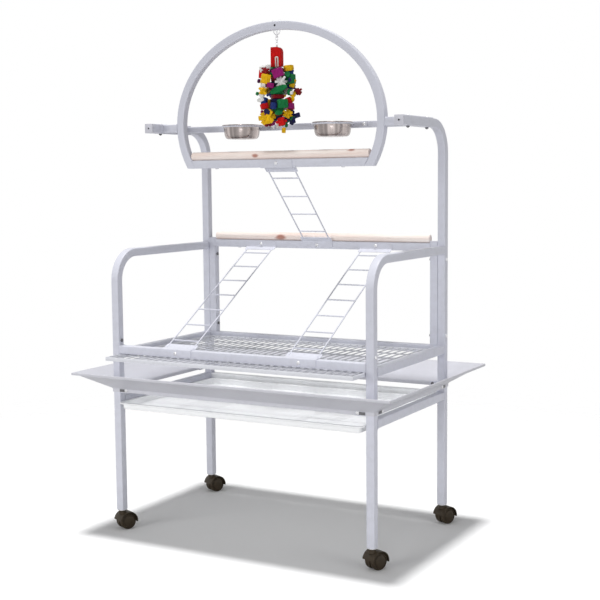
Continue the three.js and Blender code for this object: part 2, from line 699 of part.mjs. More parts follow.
// Sleeves over the posts' forward ends, each with a stub of tube welded on towards the arch.
function addSleeves() {
  const length = SLEEVE_REAR_Y - SLEEVE_FRONT_Y;
  const sleeve = straightTube(length, SLEEVE, sleeveWall)
    .rotateX(-Math.PI / 2).translate(0, SLEEVE_FRONT_Y, 0);
  const stubEnd = legX - SLEEVE / 2 + WELD;
  const stub = straightTube(stubEnd - ARCH_HALF_WIDTH - GAP)
    .rotateY(Math.PI / 2).translate(ARCH_HALF_WIDTH + GAP - legX, ARCH_Y, 0);
  const bolts = SLEEVE_BOLTS_Y.map((y) => (
    domedBolt(SLEEVE).translate(0, y, SLEEVE / 2 - WELD)));
  const right = union(sleeve, stub, ...bolts);
  add('right_sleeve', right, paint, [legX, 0, POST_TOP_Z]);
  add('left_sleeve', mirrored(right), paint, [-legX, 0, POST_TOP_Z]);
  const inner = legX - SLEEVE / 2 - GAP;
  const boltHoles = [-1, 1].map((x) => (
    { at: inner + x * BOWL_X + STRAP.bolt, axis: 'y', wall: -1 }));
  const rail = crossHoles(straightTube(2 * inner, BOWL_RAIL, TUBE_WALL), boltHoles);
  add('bowl_rail', rail, paint, [-inner, BOWL_RAIL_Y, POST_TOP_Z], ALONG_X);
}

// ---- Bowls --------------------------------------------------------------------------------------

// A ring of wire under the bowl's rim, on a strap bolted to the bowl rail.
function bowlRing() {
  const { thickness, height, left, right, bolt } = STRAP;
  const ringZ = BOWL_TOP_Z - BOWL_SHEET * 2 - GAP - RING_WIRE;
  const ring = torus(ringRadius, RING_WIRE, 6, 24).translate(0, bowlY, ringZ);
  const strap = box(left + right, thickness, height,
    [(right - left) / 2, strapFrontY + thickness / 2, POST_TOP_Z]);
  const tie = box(16, GAP + RING_WIRE + 1, 2 * RING_WIRE - 1,
    [0, strapFrontY - (GAP + RING_WIRE - 1) / 2, ringZ]);
  const grip = thickness + GAP + TUBE_WALL + GAP;
  const fastener = aim(domedBolt(grip, NUT_IN_TUBE), [0, -1, 0], [bolt, strapFrontY + WELD, POST_TOP_Z]);
  return union(ring, strap, tie, fastener);
}

function bowl() {
  const t = BOWL_SHEET;
  const wall = BOWL_RIM - 4.5; // outside of the wall under the rim
  const profile = [
    [0, 0], [BOWL_BASE - 5, 0], [BOWL_BASE - 1, 1.6], [BOWL_BASE + 1.5, 6],
    [wall - 1, BOWL_HEIGHT * 0.7], [wall, BOWL_HEIGHT - 2 * t],
    [BOWL_RIM, BOWL_HEIGHT - 2 * t], [BOWL_RIM, BOWL_HEIGHT - t], [BOWL_RIM - 1, BOWL_HEIGHT],
    [wall - t, BOWL_HEIGHT - t * 0.6], [wall - t - 1, BOWL_HEIGHT * 0.7],
    [BOWL_BASE + 1.5 - t, 6 + t * 0.6], [BOWL_BASE - 5, t], [0, t],
  ];
  return turned(profile, BOWL_SIDES);
}

function addBowls() {
  for (const [side, x] of SIDES) {
    add(`${side}_bowl_ring`, bowlRing(), steel, [x * BOWL_X, 0, 0]);
    add(`${side}_bowl`, bowl(), steel, [x * BOWL_X, bowlY, BOWL_TOP_Z - BOWL_HEIGHT]);
  }
}

// ---- Perches ------------------------------------------------------------------------------------

// A dowel along X with its two screws, which go up through the rail below it.
function perch(halfLength) {
  const length = 2 * halfLength;
  const r = PERCH_RADIUS;
  const dowel = turned([[0, 0], [r - 1.5, 0], [r, 1.5], [r, length - 1.5], [r - 1.5, length],
    [0, length]], 16).translate(0, 0, -length / 2).rotateY(Math.PI / 2);
  const head = -r - GAP - TUBE - GAP - SCREW.headHeight;
  const screws = [-1, 1].map((x) => (
    woodScrew(-head).translate(x * (halfLength - PERCH_SCREW_INSET), 0, head)));
  return union(dowel, ...screws);
}

function addPerches() {
  const rise = half + GAP + PERCH_RADIUS;
  add('upper_perch', perch(upperPerchHalf), wood, [0, ARCH_Y, ARCH_RAIL_Z + rise]);
  add('lower_perch', perch(lowerPerchHalf), wood, [0, legY, MIDDLE_RAIL_Z + rise]);
}

// ---- Ladders ------------------------------------------------------------------------------------

// A ladder of two side wires and rungs in the plane from `top` to `bottom`, each a [y, z] pair,
// with an end plate folded from sheet at each end.
function ladder(top, bottom, rungs, topPlate, bottomPlate) {
  const from = new THREE.Vector2(...top);
  const to = new THREE.Vector2(...bottom);
  const along = to.clone().sub(from);
  const length = along.length();
  const unit = along.clone().normalize();
  const place = (x, distance) => v(x, from.x + unit.x * distance, from.y + unit.y * distance);
  const parts = [];
  const inset = 2 * PLATE_SHEET; // of the wires' ends from the folds of the plates
  for (const x of [-LADDER_GAUGE / 2, LADDER_GAUGE / 2]) {
    parts.push(bar(LADDER_WIRE, place(x, inset), place(x, length - inset), 6));
  }
  const first = (length - (rungs - 1) * LADDER_PITCH) / 2;
  for (let i = 0; i < rungs; i += 1) {
    const at = place(0, first + i * LADDER_PITCH);
    parts.push(rod(LADDER_WIRE, -LADDER_GAUGE / 2, LADDER_GAUGE / 2, 'x', 6).translate(0, at.y, at.z));
  }
  for (const { outline, bolt } of [topPlate, bottomPlate]) {
    parts.push(extrudeAlongX(foldedStrip(outline, PLATE_SHEET), PLATE_WIDTH));
    const grip = PLATE_SHEET + GAP + TUBE_WALL + GAP;
    parts.push(aim(domedBolt(grip, NUT_IN_TUBE), [0, -1, 0], [0, bolt[0] - PLATE_SHEET + WELD, bolt[1]]));
  }
  return union(...parts);
}

function addLadders() {
  const flange = PLATE_FLANGE / 2;
  const s = PLATE_SHEET;
  const railFront = legY - half - GAP; // front face of the middle rail, with the seat's gap
  const deckFront = -legY - half - GAP;
  const deckTop = LEG_TOP + GAP;
  const middleTop = MIDDLE_RAIL_Z + half + GAP;

  // lower ladders: from the middle rail's face down to the top of the front deck rail
  const top = [railFront - s, MIDDLE_RAIL_Z - flange];
  const bottom = [deckFront + TUBE + 2 * GAP, deckTop + s];
  const slope = new THREE.Vector2(bottom[0] - top[0], bottom[1] - top[1]).normalize();
  const lap = [slope.x * PLATE_LAP, slope.y * PLATE_LAP];
  const topPlate = {
    outline: [[railFront + lap[0], MIDDLE_RAIL_Z - flange + lap[1]], [railFront, MIDDLE_RAIL_Z - flange],
      [railFront, MIDDLE_RAIL_Z + flange]],
    bolt: [railFront, MIDDLE_RAIL_Z],
  };
  const bottomPlate = {
    outline: [[deckFront, deckTop - PLATE_FLANGE], [deckFront, deckTop], [bottom[0], deckTop],
      [bottom[0] - lap[0], deckTop - lap[1]]],
    bolt: [deckFront, frontRailZ],
  };
  const lower = ladder(top, bottom, LOWER_RUNGS, topPlate, bottomPlate);
  add('left_ladder', lower, paint, [-LADDER_X, 0, 0]);
  add('right_ladder', lower, paint, [LADDER_X, 0, 0]);

  // upper ladder: from under the arch rail back to the top of the middle rail
  const archBottom = ARCH_RAIL_Z - half - GAP;
  const archFace = archFront - GAP;
  const upTop = [ARCH_Y + half, archBottom - s];
  const upBottom = [railFront, middleTop + s];
  const upSlope = new THREE.Vector2(upBottom[0] - upTop[0], upBottom[1] - upTop[1]).normalize();
  const upLap = [upSlope.x * PLATE_LAP, upSlope.y * PLATE_LAP];
  const upTopPlate = {
    outline: [[upTop[0] + upLap[0], archBottom + upLap[1]], [upTop[0], archBottom], [archFace, archBottom],
      [archFace, ARCH_RAIL_Z + flange]],
    bolt: [archFace, ARCH_RAIL_Z],
  };
  const upBottomPlate = {
    outline: [[railFront, middleTop - PLATE_FLANGE], [railFront, middleTop],
      [railFront - upLap[0], middleTop - upLap[1]]],
    bolt: [railFront, MIDDLE_RAIL_Z],
  };
  add('upper_ladder', ladder(upTop, upBottom, UPPER_RUNGS, upTopPlate, upBottomPlate), paint);
}

// ---- Casters ------------------------------------------------------------------------------------

function casterHood() {
  const { outer, inner, from, to } = HOOD;
  const width = WEB_WIDTH + 2 * (WHEEL_WIDTH + GAP);
  const start = THREE.MathUtils.degToRad(from);
  const end = THREE.MathUtils.degToRad(to);
  const arc = new THREE.Shape();
  arc.absarc(0, 0, outer, start, end, false);
  arc.absarc(0, 0, inner, end, start, true);
  const shell = extrudeAlongX(arc, width, 6);
  const web = rod(inner + 1, -WEB_WIDTH / 2, WEB_WIDTH / 2, 'x', WHEEL_SIDES);
  const webFloor = box(width, 4 * outer, outer, [0, 0, -outer - WHEEL_RADIUS * 0.55 + outer / 2]);
  const neck = rod(11, inner - 4, LEG_BOTTOM - WHEEL_RADIUS - GAP, 'z', 12).translate(0, -CASTER_TRAIL, 0);
  const under = rod(inner, -width, width, 'x', WHEEL_SIDES);
  const webOnly = cut(web, webFloor);
  const crown = cut(neck, under);
  const stem = rod(STEM_RADIUS, inner, LEG_BOTTOM - WHEEL_RADIUS + STEM_LENGTH, 'z', STEM_SIDES)
    .translate(0, -CASTER_TRAIL, 0);
  const stemTop = cut(stem, under);
  const axleHole = rod(AXLE_RADIUS + GAP, -width, width, 'x', STEM_SIDES);
  return cut(union(shell, webOnly, crown, stemTop), axleHole);
}

function casterWheels() {
  const r = WHEEL_RADIUS;
  const w = WHEEL_WIDTH;
  const wheel = turned([[0, 0], [r - 2, 0], [r, 3], [r, w - 3], [r - 3, w], [r - 6, w - 2],
    [0, w - 2]], WHEEL_SIDES);
  const right = wheel.clone().rotateY(Math.PI / 2).translate(WEB_WIDTH / 2 + GAP, 0, 0);
  const left = right.clone().rotateZ(Math.PI);
  const axle = rod(AXLE_RADIUS, -WEB_WIDTH / 2 - 5, WEB_WIDTH / 2 + 5, 'x', STEM_SIDES);
  return union(left, right, axle);
}

// A socket for a caster's stem, pressed into the foot of a leg.
function legInsert() {
  const body = box(plugSize, plugSize, INSERT_LENGTH, [0, 0, INSERT_LENGTH / 2]);
  return cut(body, rod(STEM_RADIUS + GAP, -1, INSERT_LENGTH + 1, 'z', STEM_SIDES));
}

function addCasters() {
  const hood = casterHood();
  const wheels = casterWheels();
  const insert = legInsert();
  for (const [name, x, y] of CORNERS) {
    const caster = new THREE.Group();
    caster.position.set(x * legX, y * legY, WHEEL_RADIUS);
    caster.rotation.z = THREE.MathUtils.degToRad(CASTER_TURN);
    stand.add(caster);
    for (const [part, geometry] of [['hood', hood], ['wheels', wheels]]) {
      const mesh = add(`${name}_caster_${part}`, geometry, dark, [0, CASTER_TRAIL, 0]);
      caster.add(mesh);
    }
    add(`${name}_leg_insert`, insert, dark, [x * legX, y * legY, LEG_BOTTOM]);
  }
}

// ---- Toy ----------------------------------------------------------------------------------------

// An oval link in the XZ plane, its wire as much thicker at the two ends as the link is stretched.
function ovalLink({ radius, wire, stretch }) {
  return torus(radius, wire, 6, 12).scale(1, stretch, 1).rotateX(Math.PI / 2);
}

// Height of a link's centre when it hangs in an eye whose lowest wire has its centre at `z`.
function hangAt(z, wireAbove, { radius, wire, stretch }) {
  return z + wireAbove + GAP - (radius - wire) * stretch;
}

function addToy() {
  // a yoke of wire with a middle stud below the arch, its ends up through the tube under two nuts
  const { radius, wire, drop, stud, eye, eyeWire } = HANGER;
  const yokeZ = archUnder - drop + wire;
  const bendZ = yokeZ + radius;
  const legs = [-1, 1].flatMap((x) => [
    rod(wire, bendZ - WELD, archTop + BOLT.nutHeight, 'z').translate(x * radius, 0, 0),
    rod(BOLT.nut * 0.7, archTop + GAP, archTop + BOLT.nutHeight, 'z', 6).translate(x * radius, 0, 0),
  ]);
  const bendEnds = box(4 * radius, 4 * wire, radius, [0, 0, bendZ - radius / 2]);
  const bottom = common(torus(radius, wire, 6, 20).rotateX(Math.PI / 2).translate(0, 0, bendZ), bendEnds);
  const middle = rod(stud, yokeZ, archUnder - GAP, 'z');
  const eyeZ = yokeZ - eye;
  const ring = torus(eye, eyeWire, 6, 12).rotateY(Math.PI / 2).translate(0, 0, eyeZ);
  add('toy_hanger', union(...legs, bottom, middle, ring), steel, [0, ARCH_Y, 0]);

  // an oval link in the hanger's eye, then a short chain with every other link turned
  const linkZ = hangAt(eyeZ - eye, eyeWire, TOY_LINK);
  add('toy_link', ovalLink(TOY_LINK), steel, [0, ARCH_Y, linkZ]);
  const firstZ = hangAt(linkZ - TOY_LINK.radius * TOY_LINK.stretch, TOY_LINK.wire * TOY_LINK.stretch, LINK);
  const pitch = 2 * LINK.radius * LINK.stretch - LINK.wire;
  const links = [];
  for (let i = 0; i < CHAIN_LINKS; i += 1) {
    const turn = i % 2 === 0 ? Math.PI / 2 : 0;
    links.push(ovalLink(LINK).rotateZ(turn).translate(0, 0, firstZ - i * pitch));
  }
  const lastZ = firstZ - (CHAIN_LINKS - 1) * pitch;
  add('toy_chain', union(...links), steel, [0, ARCH_Y, 0]);

  // the block hangs on the last link by a screw eye
  const hookZ = lastZ - (LINK.radius + LINK.wire) * LINK.stretch - GAP;
  const blockTop = hookZ - BLOCK_EYE;
  const { width, height, thickness, round } = TOY_BLOCK;
  const face = new THREE.Shape();
  face.moveTo(-width / 2, 0);
  face.lineTo(width / 2, 0);
  face.lineTo(width / 2, height - round);
  face.absarc(width / 2 - round, height - round, round, 0, Math.PI / 2, false);
  face.lineTo(-width / 2, height);
  const block = new THREE.ExtrudeGeometry(face, { depth: thickness, bevelEnabled: false, curveSegments: 3 })
    .translate(0, 0, -thickness / 2).rotateX(Math.PI / 2).translate(0, ARCH_Y, blockTop - height);
  const blockEye = rod(1.6, blockTop - 2, hookZ, 'z', 6).translate(0, ARCH_Y, 0);
  add('toy_block', union(block, blockEye), red);
  addToyBundle(blockTop - height - GAP);
}

// Coloured wooden bits strung round a core, tier under tier.
function addToyBundle(top) {
  const parts = [rod(TOY_CORE, top - TOY_LENGTH, top, 'z', 10)];
  const pitch = TOY_LENGTH / (TOY_TIERS + 1);
  for (let tier = 0; tier < TOY_TIERS; tier += 1) {
    const bulge = 0.5 + 0.5 * Math.sin((Math.PI * (tier + 0.5)) / TOY_TIERS);
    for (let i = 0; i < TOY_BITS_PER_TIER; i += 1) {
      const angle = ((i + (tier % 2) / 2) * 2 * Math.PI) / TOY_BITS_PER_TIER;
      const length = TOY_REACH * bulge * (i % 2 === 0 ? 1 : 0.86) - TOY_CORE / 2;
      const bit = box(length, TOY_BIT.width, TOY_BIT.height, [TOY_CORE / 2 + length / 2, 0, 0]);
      bit.rotateX(angle * 2).rotateZ(angle).translate(0, 0, top - (tier + 0.6) * pitch);
      parts.push(bit);
    }
  }
  add('toy_bundle', union(...parts), mixed, [0, ARCH_Y, 0]);
}

// ---- Assembly -----------------------------------------------------------------------------------

addLowerFrame();
addTray();
addGrate();
addGuards();
addArmsAndPosts();
addPerchFrame();
addArch();
addSleeves();
addEndCaps();
addBowls();
addPerches();
addLadders();
addCasters();
addToy();

export default stand;
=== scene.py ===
"""Looks of a parrot play stand: every visible piece and finish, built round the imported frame."""
import math

import bmesh
import bpy
from bpy.props import FloatProperty, FloatVectorProperty, PointerProperty
from mathutils import Matrix, Vector


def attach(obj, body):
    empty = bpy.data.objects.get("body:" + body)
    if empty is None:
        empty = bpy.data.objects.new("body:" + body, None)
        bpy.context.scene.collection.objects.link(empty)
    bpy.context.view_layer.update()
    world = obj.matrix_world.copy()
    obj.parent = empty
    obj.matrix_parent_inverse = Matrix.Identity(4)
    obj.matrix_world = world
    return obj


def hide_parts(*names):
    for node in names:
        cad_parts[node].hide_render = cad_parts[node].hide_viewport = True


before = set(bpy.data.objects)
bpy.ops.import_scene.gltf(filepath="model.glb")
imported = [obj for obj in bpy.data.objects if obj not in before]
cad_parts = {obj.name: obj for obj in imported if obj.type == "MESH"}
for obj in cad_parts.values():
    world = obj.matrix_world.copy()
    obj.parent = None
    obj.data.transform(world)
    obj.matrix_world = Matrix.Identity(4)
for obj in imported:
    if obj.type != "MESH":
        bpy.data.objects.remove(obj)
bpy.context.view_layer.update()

bl_info = {
    "name": "Parrot play stand",
    "version": (1, 0, 0),
    "blender": (4, 5, 0),
    "location": "3D Viewport > Sidebar > Play stand",
    "description": "Builds the pieces, finishes and stage of a parrot play stand",
    "category": "Object",
}

# ---- Places of the frame, in metres -------------------------------------------------------------

X, Y, Z = Vector((1, 0, 0)), Vector((0, 1, 0)), Vector((0, 0, 1))
SEAT = 0.0003  # gap between pieces that touch
SIDES = {"left": -1, "right": 1}
CORNERS = {f"{end}_{side}": (x, y) for end, y in (("front", -1), ("rear", 1)) for side, x in SIDES.items()}

LEG_X = 0.440  # leg centres
LEG_Y = 0.259
LEG_FOOT_Z = 0.065
LEG_TOP_Z = 0.591
LOWER_RAIL_Z = 0.417
DECK_RAIL_Z = 0.5643
JOINT_BOLT_Z = 0.606
ARM_Z = 0.878
POST_Z = 1.270
POST_FRONT_Y = -0.058
MIDDLE_RAIL_Z = 0.887
INNER_POST_TOP_Z = 0.9037
POST_BOLT_Z = 0.848

SLEEVE_Y = (-0.072, 0.146)
SLEEVE_BOLTS_Y = (-0.010, 0.130)
ARCH_Y = -0.0055
ARCH_HALF_WIDTH = 0.369  # outside
ARCH_CENTRE_Z = 1.277  # of its ellipse
ARCH_RISE = 0.3075
ARCH_RAIL_Z = 1.153
BOWL_RAIL_Y = 0.125

TRAY_Y = (-0.291, 0.240)
TRAY_HALF_WIDTH = 0.4246
TRAY_RIM_Z = 0.414
GRATE_Y = (-0.345, 0.240)
GRATE_TOP_Z = 0.565
TRAY_LEDGE_Z = TRAY_RIM_Z - 0.0018  # top faces of the runners
GRATE_LEDGE_Z = GRATE_TOP_Z - 0.0123
GUARD_BOLT_Z = 0.450
GUARD_Z = (0.444, 0.456, 0.512, 0.503)  # foot, inner fold, outer fold and lip

BOWL_X = 0.163
BOWL_Y = 0.0476
BOWL_TOP_Z = 1.277
STRAP_Y = 0.1127
LADDER_X = 0.214
PLATE = 0.0015  # thickness of runners and of the ladders' end plates
RUNNER_REACH = 0.014
RUNNER_HEIGHT = 0.0125
CASTER_TURN = math.radians(-25)
CASTER_TRAIL = 0.013

HANGER_TOP_Z = 1.5591
TOY_EYE_Z = 1.5407


def length(name, description, default):
    """A size that a user may change."""
    return FloatProperty(name=name, description=description, default=default, min=0.0001, unit="LENGTH",
                         precision=4)


def colour(name, description, default):
    """A colour that a user may change."""
    return FloatVectorProperty(name=name, description=description, default=default, size=3, min=0.0, max=1.0,
                               subtype="COLOR")


class PlayStandSizes(bpy.types.PropertyGroup):
    """Sizes of the stand's stock and small parts."""
    tube: length("Tube", "Outside width of the frame's square tube", 0.0254)
    tube_wall: length("Tube wall", "Thickness of the tube's wall", 0.0015)
    tube_corner: length("Tube corner", "Radius of the tube's outer corners", 0.0028)
    arm_bend: length("Arm bend", "Bend radius of the side arms", 0.085)
    post_bend: length("Post bend", "Bend radius of the rear posts", 0.090)
    sleeve: length("Sleeve", "Outside width of the arch's sleeves", 0.030)
    bowl_rail: length("Bowl rail", "Outside width of the rail that carries the bowls", 0.020)
    guard_sheet: length("Guard sheet", "Thickness of the seed guards", 0.0015)
    guard_reach: length("Guard reach", "How far the seed guards stand out from the legs", 0.092)
    tray_sheet: length("Tray sheet", "Thickness of the tray", 0.0015)
    tray_depth: length("Tray depth", "Height of the tray", 0.021)
    grate_pitch: length("Grate pitch", "Distance between the grate's wires", 0.0254)
    grate_wire: length("Grate wire", "Radius of the grate's wires", 0.0020)
    ladder_gauge: length("Ladder gauge", "Distance between a ladder's side wires", 0.096)
    ladder_wire: length("Ladder wire", "Radius of the ladders' wires", 0.00225)
    rung_pitch: length("Rung pitch", "Distance between rungs", 0.082)
    plate_width: length("Plate width", "Width of the ladders' end plates", 0.114)
    bowl_rim: length("Bowl rim", "Outside radius of a bowl's rim", 0.063)
    bowl_height: length("Bowl height", "Height of a bowl", 0.045)
    ring_wire: length("Ring wire", "Radius of the bowl rings' wire", 0.0025)
    perch: length("Perch", "Radius of the perches", 0.013)
    wheel: length("Wheel", "Radius of the casters' wheels", 0.026)
    wheel_width: length("Wheel width", "Width of one wheel", 0.019)
    web: length("Web", "Width of the caster's body between its wheels", 0.010)


class PlayStandColours(bpy.types.PropertyGroup):
    """Colours of the stand's finishes."""
    frame_paint: colour("Frame paint", "Powder coat of the tubes", (0.67, 0.68, 0.76))
    # painted shade: the guards carry the frame's powder coat, and this darker copy of it stands for the shade on their
    # down-facing faces
    guard_paint: colour("Guard paint", "Powder coat of the seed guards", (0.60, 0.60, 0.65))
    grate_paint: colour("Grate paint", "Coat of the grate's wires", (0.74, 0.75, 0.80))
    tray_white: colour("Tray", "Enamel of the tray", (0.965, 0.975, 0.985))
    stainless: colour("Bowls", "Stainless steel of the bowls", (0.45, 0.395, 0.38))
    zinc: colour("Bolts", "Zinc plate of bolts and links", (0.80, 0.80, 0.82))
    perch_wood: colour("Perch", "Wood of the perches", (0.99, 0.87, 0.82))
    perch_knot: colour("Knot", "Knots of the perches", (0.42, 0.14, 0.09))
    caster: colour("Caster", "Plastic of the casters", (0.046, 0.034, 0.021))
    cap: colour("Cap", "Plastic of the tube caps", (0.64, 0.64, 0.70))
    floor: colour("Floor", "Studio floor", (0.93, 0.93, 0.93))


DYES = {
    "red": (0.62, 0.006, 0.006),
    "crimson": (0.24, 0.005, 0.012),
    "yellow": (0.86, 0.50, 0.006),
    "magenta": (0.30, 0.008, 0.15),
    "purple": (0.07, 0.006, 0.06),
    "green": (0.005, 0.17, 0.045),
    "blue": (0.012, 0.030, 0.16),
    "navy": (0.006, 0.008, 0.06),
    "white": (0.82, 0.82, 0.80),
}

# ---- Finishes -----------------------------------------------------------------------------------


def add_node(tree, kind, inputs=None, **settings):
    """A shader node with its settings, and its inputs as values or links."""
    made = tree.nodes.new(kind)
    for key, value in settings.items():
        setattr(made, key, value)
    for key, value in (inputs or {}).items():
        if isinstance(value, bpy.types.NodeSocket):
            tree.links.new(value, made.inputs[key])
        else:
            made.inputs[key].default_value = value
    return made


def noise(tree, place, scale, detail=3.0):
    """Noise from 0 to 1 at a scale per metre."""
    return add_node(tree, "ShaderNodeTexNoise", {"Vector": place, "Scale": scale, "Detail": detail}).outputs["Fac"]


def spread(tree, value, low, high, to_low=0.0, to_high=1.0):
    """A value's range from low to high, stretched to another range."""
    return add_node(tree, "ShaderNodeMapRange", {"Value": value, "From Min": low, "From Max": high,
                                                 "To Min": to_low, "To Max": to_high}).outputs["Result"]


def blend_colours(tree, factor, one, other):
    """Two colours mixed by a factor."""
    made = add_node(tree, "ShaderNodeMix", {"Factor": factor}, data_type="RGBA")
    for socket, value in ((made.inputs[6], one), (made.inputs[7], other)):
        if isinstance(value, bpy.types.NodeSocket):
            tree.links.new(value, socket)
        else:
            socket.default_value = (*value, 1.0)
    return made.outputs[2]


def shaded(tint, share):
    """A colour made lighter or darker by a share of itself."""
    return tuple(min(1.0, part * share) for part in tint)


def coordinates(tree, scale=(1, 1, 1), centre=(0, 0, 0)):
    """Object coordinates from a centre, stretched along the axes."""
    place = add_node(tree, "ShaderNodeTexCoord").outputs["Object"]
    moved = add_node(tree, "ShaderNodeVectorMath", {0: place, 1: centre}, operation="SUBTRACT").outputs[0]
    return add_node(tree, "ShaderNodeMapping", {"Vector": moved, "Scale": scale}).outputs["Vector"]


def new_material(name):
    """A material with its node tree and its shader."""
    material = bpy.data.materials.new(name)
    material.use_nodes = True
    return material, material.node_tree, material.node_tree.nodes["Principled BSDF"]


def surface(tree, shader, colour_of, roughness, height, strength, distance):
    """Joins colour, roughness and relief to a shader."""
    bump = add_node(tree, "ShaderNodeBump", {"Strength": strength, "Distance": distance, "Height": height})
    for name, socket in (("Base Color", colour_of), ("Roughness", roughness), ("Normal", bump.outputs["Normal"])):
        tree.links.new(socket, shader.inputs[name])


def rubbed_edges(tree, patches, amount):
    """Where a raised edge is rubbed: bright on edges, broken up by patches."""
    edge = add_node(tree, "ShaderNodeNewGeometry").outputs["Pointiness"]
    raised = spread(tree, edge, 0.51, 0.58)
    worn = spread(tree, patches, 0.45, 0.62, 0.0, amount)
    return add_node(tree, "ShaderNodeMath", {0: raised, 1: worn}, operation="MULTIPLY").outputs[0]


def coat(name, tint, mottle=0.015, patch=9.0, peel=420.0, relief=0.1, depth=0.0002, rough=(0.36, 0.48),
         metallic=0.0, rub=0.12, worn=None, specular=0.5):
    """Paint, enamel, plating or plastic: patches of tone, a fine peel in relief and rubbed edges."""
    material, tree, shader = new_material(name)
    place = coordinates(tree)
    patches = noise(tree, place, patch, 4.0)
    grain = noise(tree, place, peel, 2.0)
    tone = blend_colours(tree, spread(tree, patches, 0.3, 0.7), shaded(tint, 1 - mottle), shaded(tint, 1 + mottle))
    speckled = blend_colours(tree, spread(tree, grain, 0.35, 0.65, 0.0, 0.4), tone, shaded(tint, 1 - 2 * mottle))
    rubbed = rubbed_edges(tree, noise(tree, place, patch * 6, 3.0), rub)
    shade = blend_colours(tree, rubbed, speckled, worn or shaded(tint, 0.7))
    smooth = add_node(tree, "ShaderNodeMath", {0: patches, 1: grain}, operation="ADD").outputs[0]
    surface(tree, shader, shade, spread(tree, smooth, 0.7, 1.3, *rough), grain, relief, depth)
    shader.inputs["Metallic"].default_value = metallic
    shader.inputs["Specular IOR Level"].default_value = specular
    return material


def spun_steel(name, tint, bowl_x, bowl_y):
    """Spun stainless steel: fine rings, smears, and broad soft light and dark bands round the walls of both bowls,
    which are painted reflections.
    """
    material, tree, shader = new_material(name)
    place = coordinates(tree)
    lines = noise(tree, coordinates(tree, (6.0, 6.0, 900.0)), 1.0, 3.0)
    smears = noise(tree, place, 35.0, 4.0)
    parts = add_node(tree, "ShaderNodeSeparateXYZ", {0: place}).outputs
    mirrored = add_node(tree, "ShaderNodeMath", {0: parts["X"]}, operation="ABSOLUTE").outputs[0]
    around = add_node(tree, "ShaderNodeCombineXYZ", {"X": mirrored, "Y": parts["Y"]}).outputs[0]
    spoke = add_node(tree, "ShaderNodeVectorMath", {0: around, 1: (bowl_x, bowl_y, 0)}, operation="SUBTRACT")
    spoke = add_node(tree, "ShaderNodeVectorMath", {0: spoke.outputs[0]}, operation="NORMALIZE").outputs[0]
    # painted reflection: darker and lighter bands round each bowl stand in for a surrounding studio reflected in the
    # steel
    painted_reflection_bands = noise(tree, spoke, 2.6, 2.0)
    shade = blend_colours(tree, spread(tree, painted_reflection_bands, 0.38, 0.62), shaded(tint, 0.55), shaded(tint, 1.35))
    shade = blend_colours(tree, spread(tree, smears, 0.4, 0.7, 0.0, 0.4), shade, shaded(tint, 0.8))
    both = add_node(tree, "ShaderNodeMath", {0: lines, 1: smears}, operation="ADD").outputs[0]
    surface(tree, shader, shade, spread(tree, both, 0.7, 1.3, 0.14, 0.3), lines, 0.1, 0.0001)
    shader.inputs["Metallic"].default_value = 1.0
    return material


def perch_wood(name, tint, knot_tint, knots):
    """Sanded pinkish wood: streaks along the perch, pores, and a few red-brown knots."""
    material, tree, shader = new_material(name)
    place = coordinates(tree)
    wander = noise(tree, coordinates(tree, (1.0, 6.0, 6.0)), 3.0, 2.0)
    streaks = noise(tree, coordinates(tree, (5.0, 110.0, 110.0)), 1.0, 5.0)
    pores = noise(tree, coordinates(tree, (60.0, 1400.0, 1400.0)), 1.0, 2.0)
    pale, deep = shaded(tint, 1.06), (tint[0] * 0.92, tint[1] * 0.84, tint[2] * 0.80)
    figure = add_node(tree, "ShaderNodeMath", {0: streaks, 1: wander}, operation="ADD").outputs[0]
    shade = blend_colours(tree, spread(tree, figure, 0.75, 1.3), pale, deep)
    shade = blend_colours(tree, spread(tree, pores, 0.58, 0.75, 0.0, 0.3), shade, shaded(tint, 0.65))
    for centre, size in knots:
        from_knot = add_node(tree, "ShaderNodeVectorMath", {0: place, 1: centre}, operation="SUBTRACT").outputs[0]
        oval = add_node(tree, "ShaderNodeMapping", {"Vector": from_knot, "Scale": (0.55, 1.0, 1.0)})
        reach = add_node(tree, "ShaderNodeVectorMath", {0: oval.outputs["Vector"]}, operation="LENGTH")
        ragged = add_node(tree, "ShaderNodeMath", {0: spread(tree, streaks, 0.3, 0.7, 0.7, 1.4),
                                                   1: reach.outputs["Value"]}, operation="MULTIPLY").outputs[0]
        shade = blend_colours(tree, spread(tree, ragged, size * 0.45, size, 0.85, 0.0), shade, knot_tint)
    height = add_node(tree, "ShaderNodeMath", {0: streaks, 1: pores}, operation="ADD").outputs[0]
    surface(tree, shader, shade, spread(tree, streaks, 0.3, 0.7, 0.5, 0.7), height, 0.3, 0.0004)
    return material


def dyed_wood(name, tint):
    """A wooden bit soaked in dye: grain shows through, and sawn faces are uneven."""
    material, tree, shader = new_material(name)
    grain = noise(tree, coordinates(tree, (500.0, 500.0, 90.0)), 1.0, 4.0)
    soak = noise(tree, coordinates(tree), 60.0, 3.0)
    shade = blend_colours(tree, spread(tree, grain, 0.35, 0.7), shaded(tint, 1.12), shaded(tint, 0.68))
    shade = blend_colours(tree, spread(tree, soak, 0.5, 0.75, 0.0, 0.35), shade, shaded(tint, 0.6))
    shader.inputs["Specular IOR Level"].default_value = 0.25
    surface(tree, shader, shade, spread(tree, grain, 0.3, 0.7, 0.55, 0.75), grain, 0.35, 0.0005)
    return material


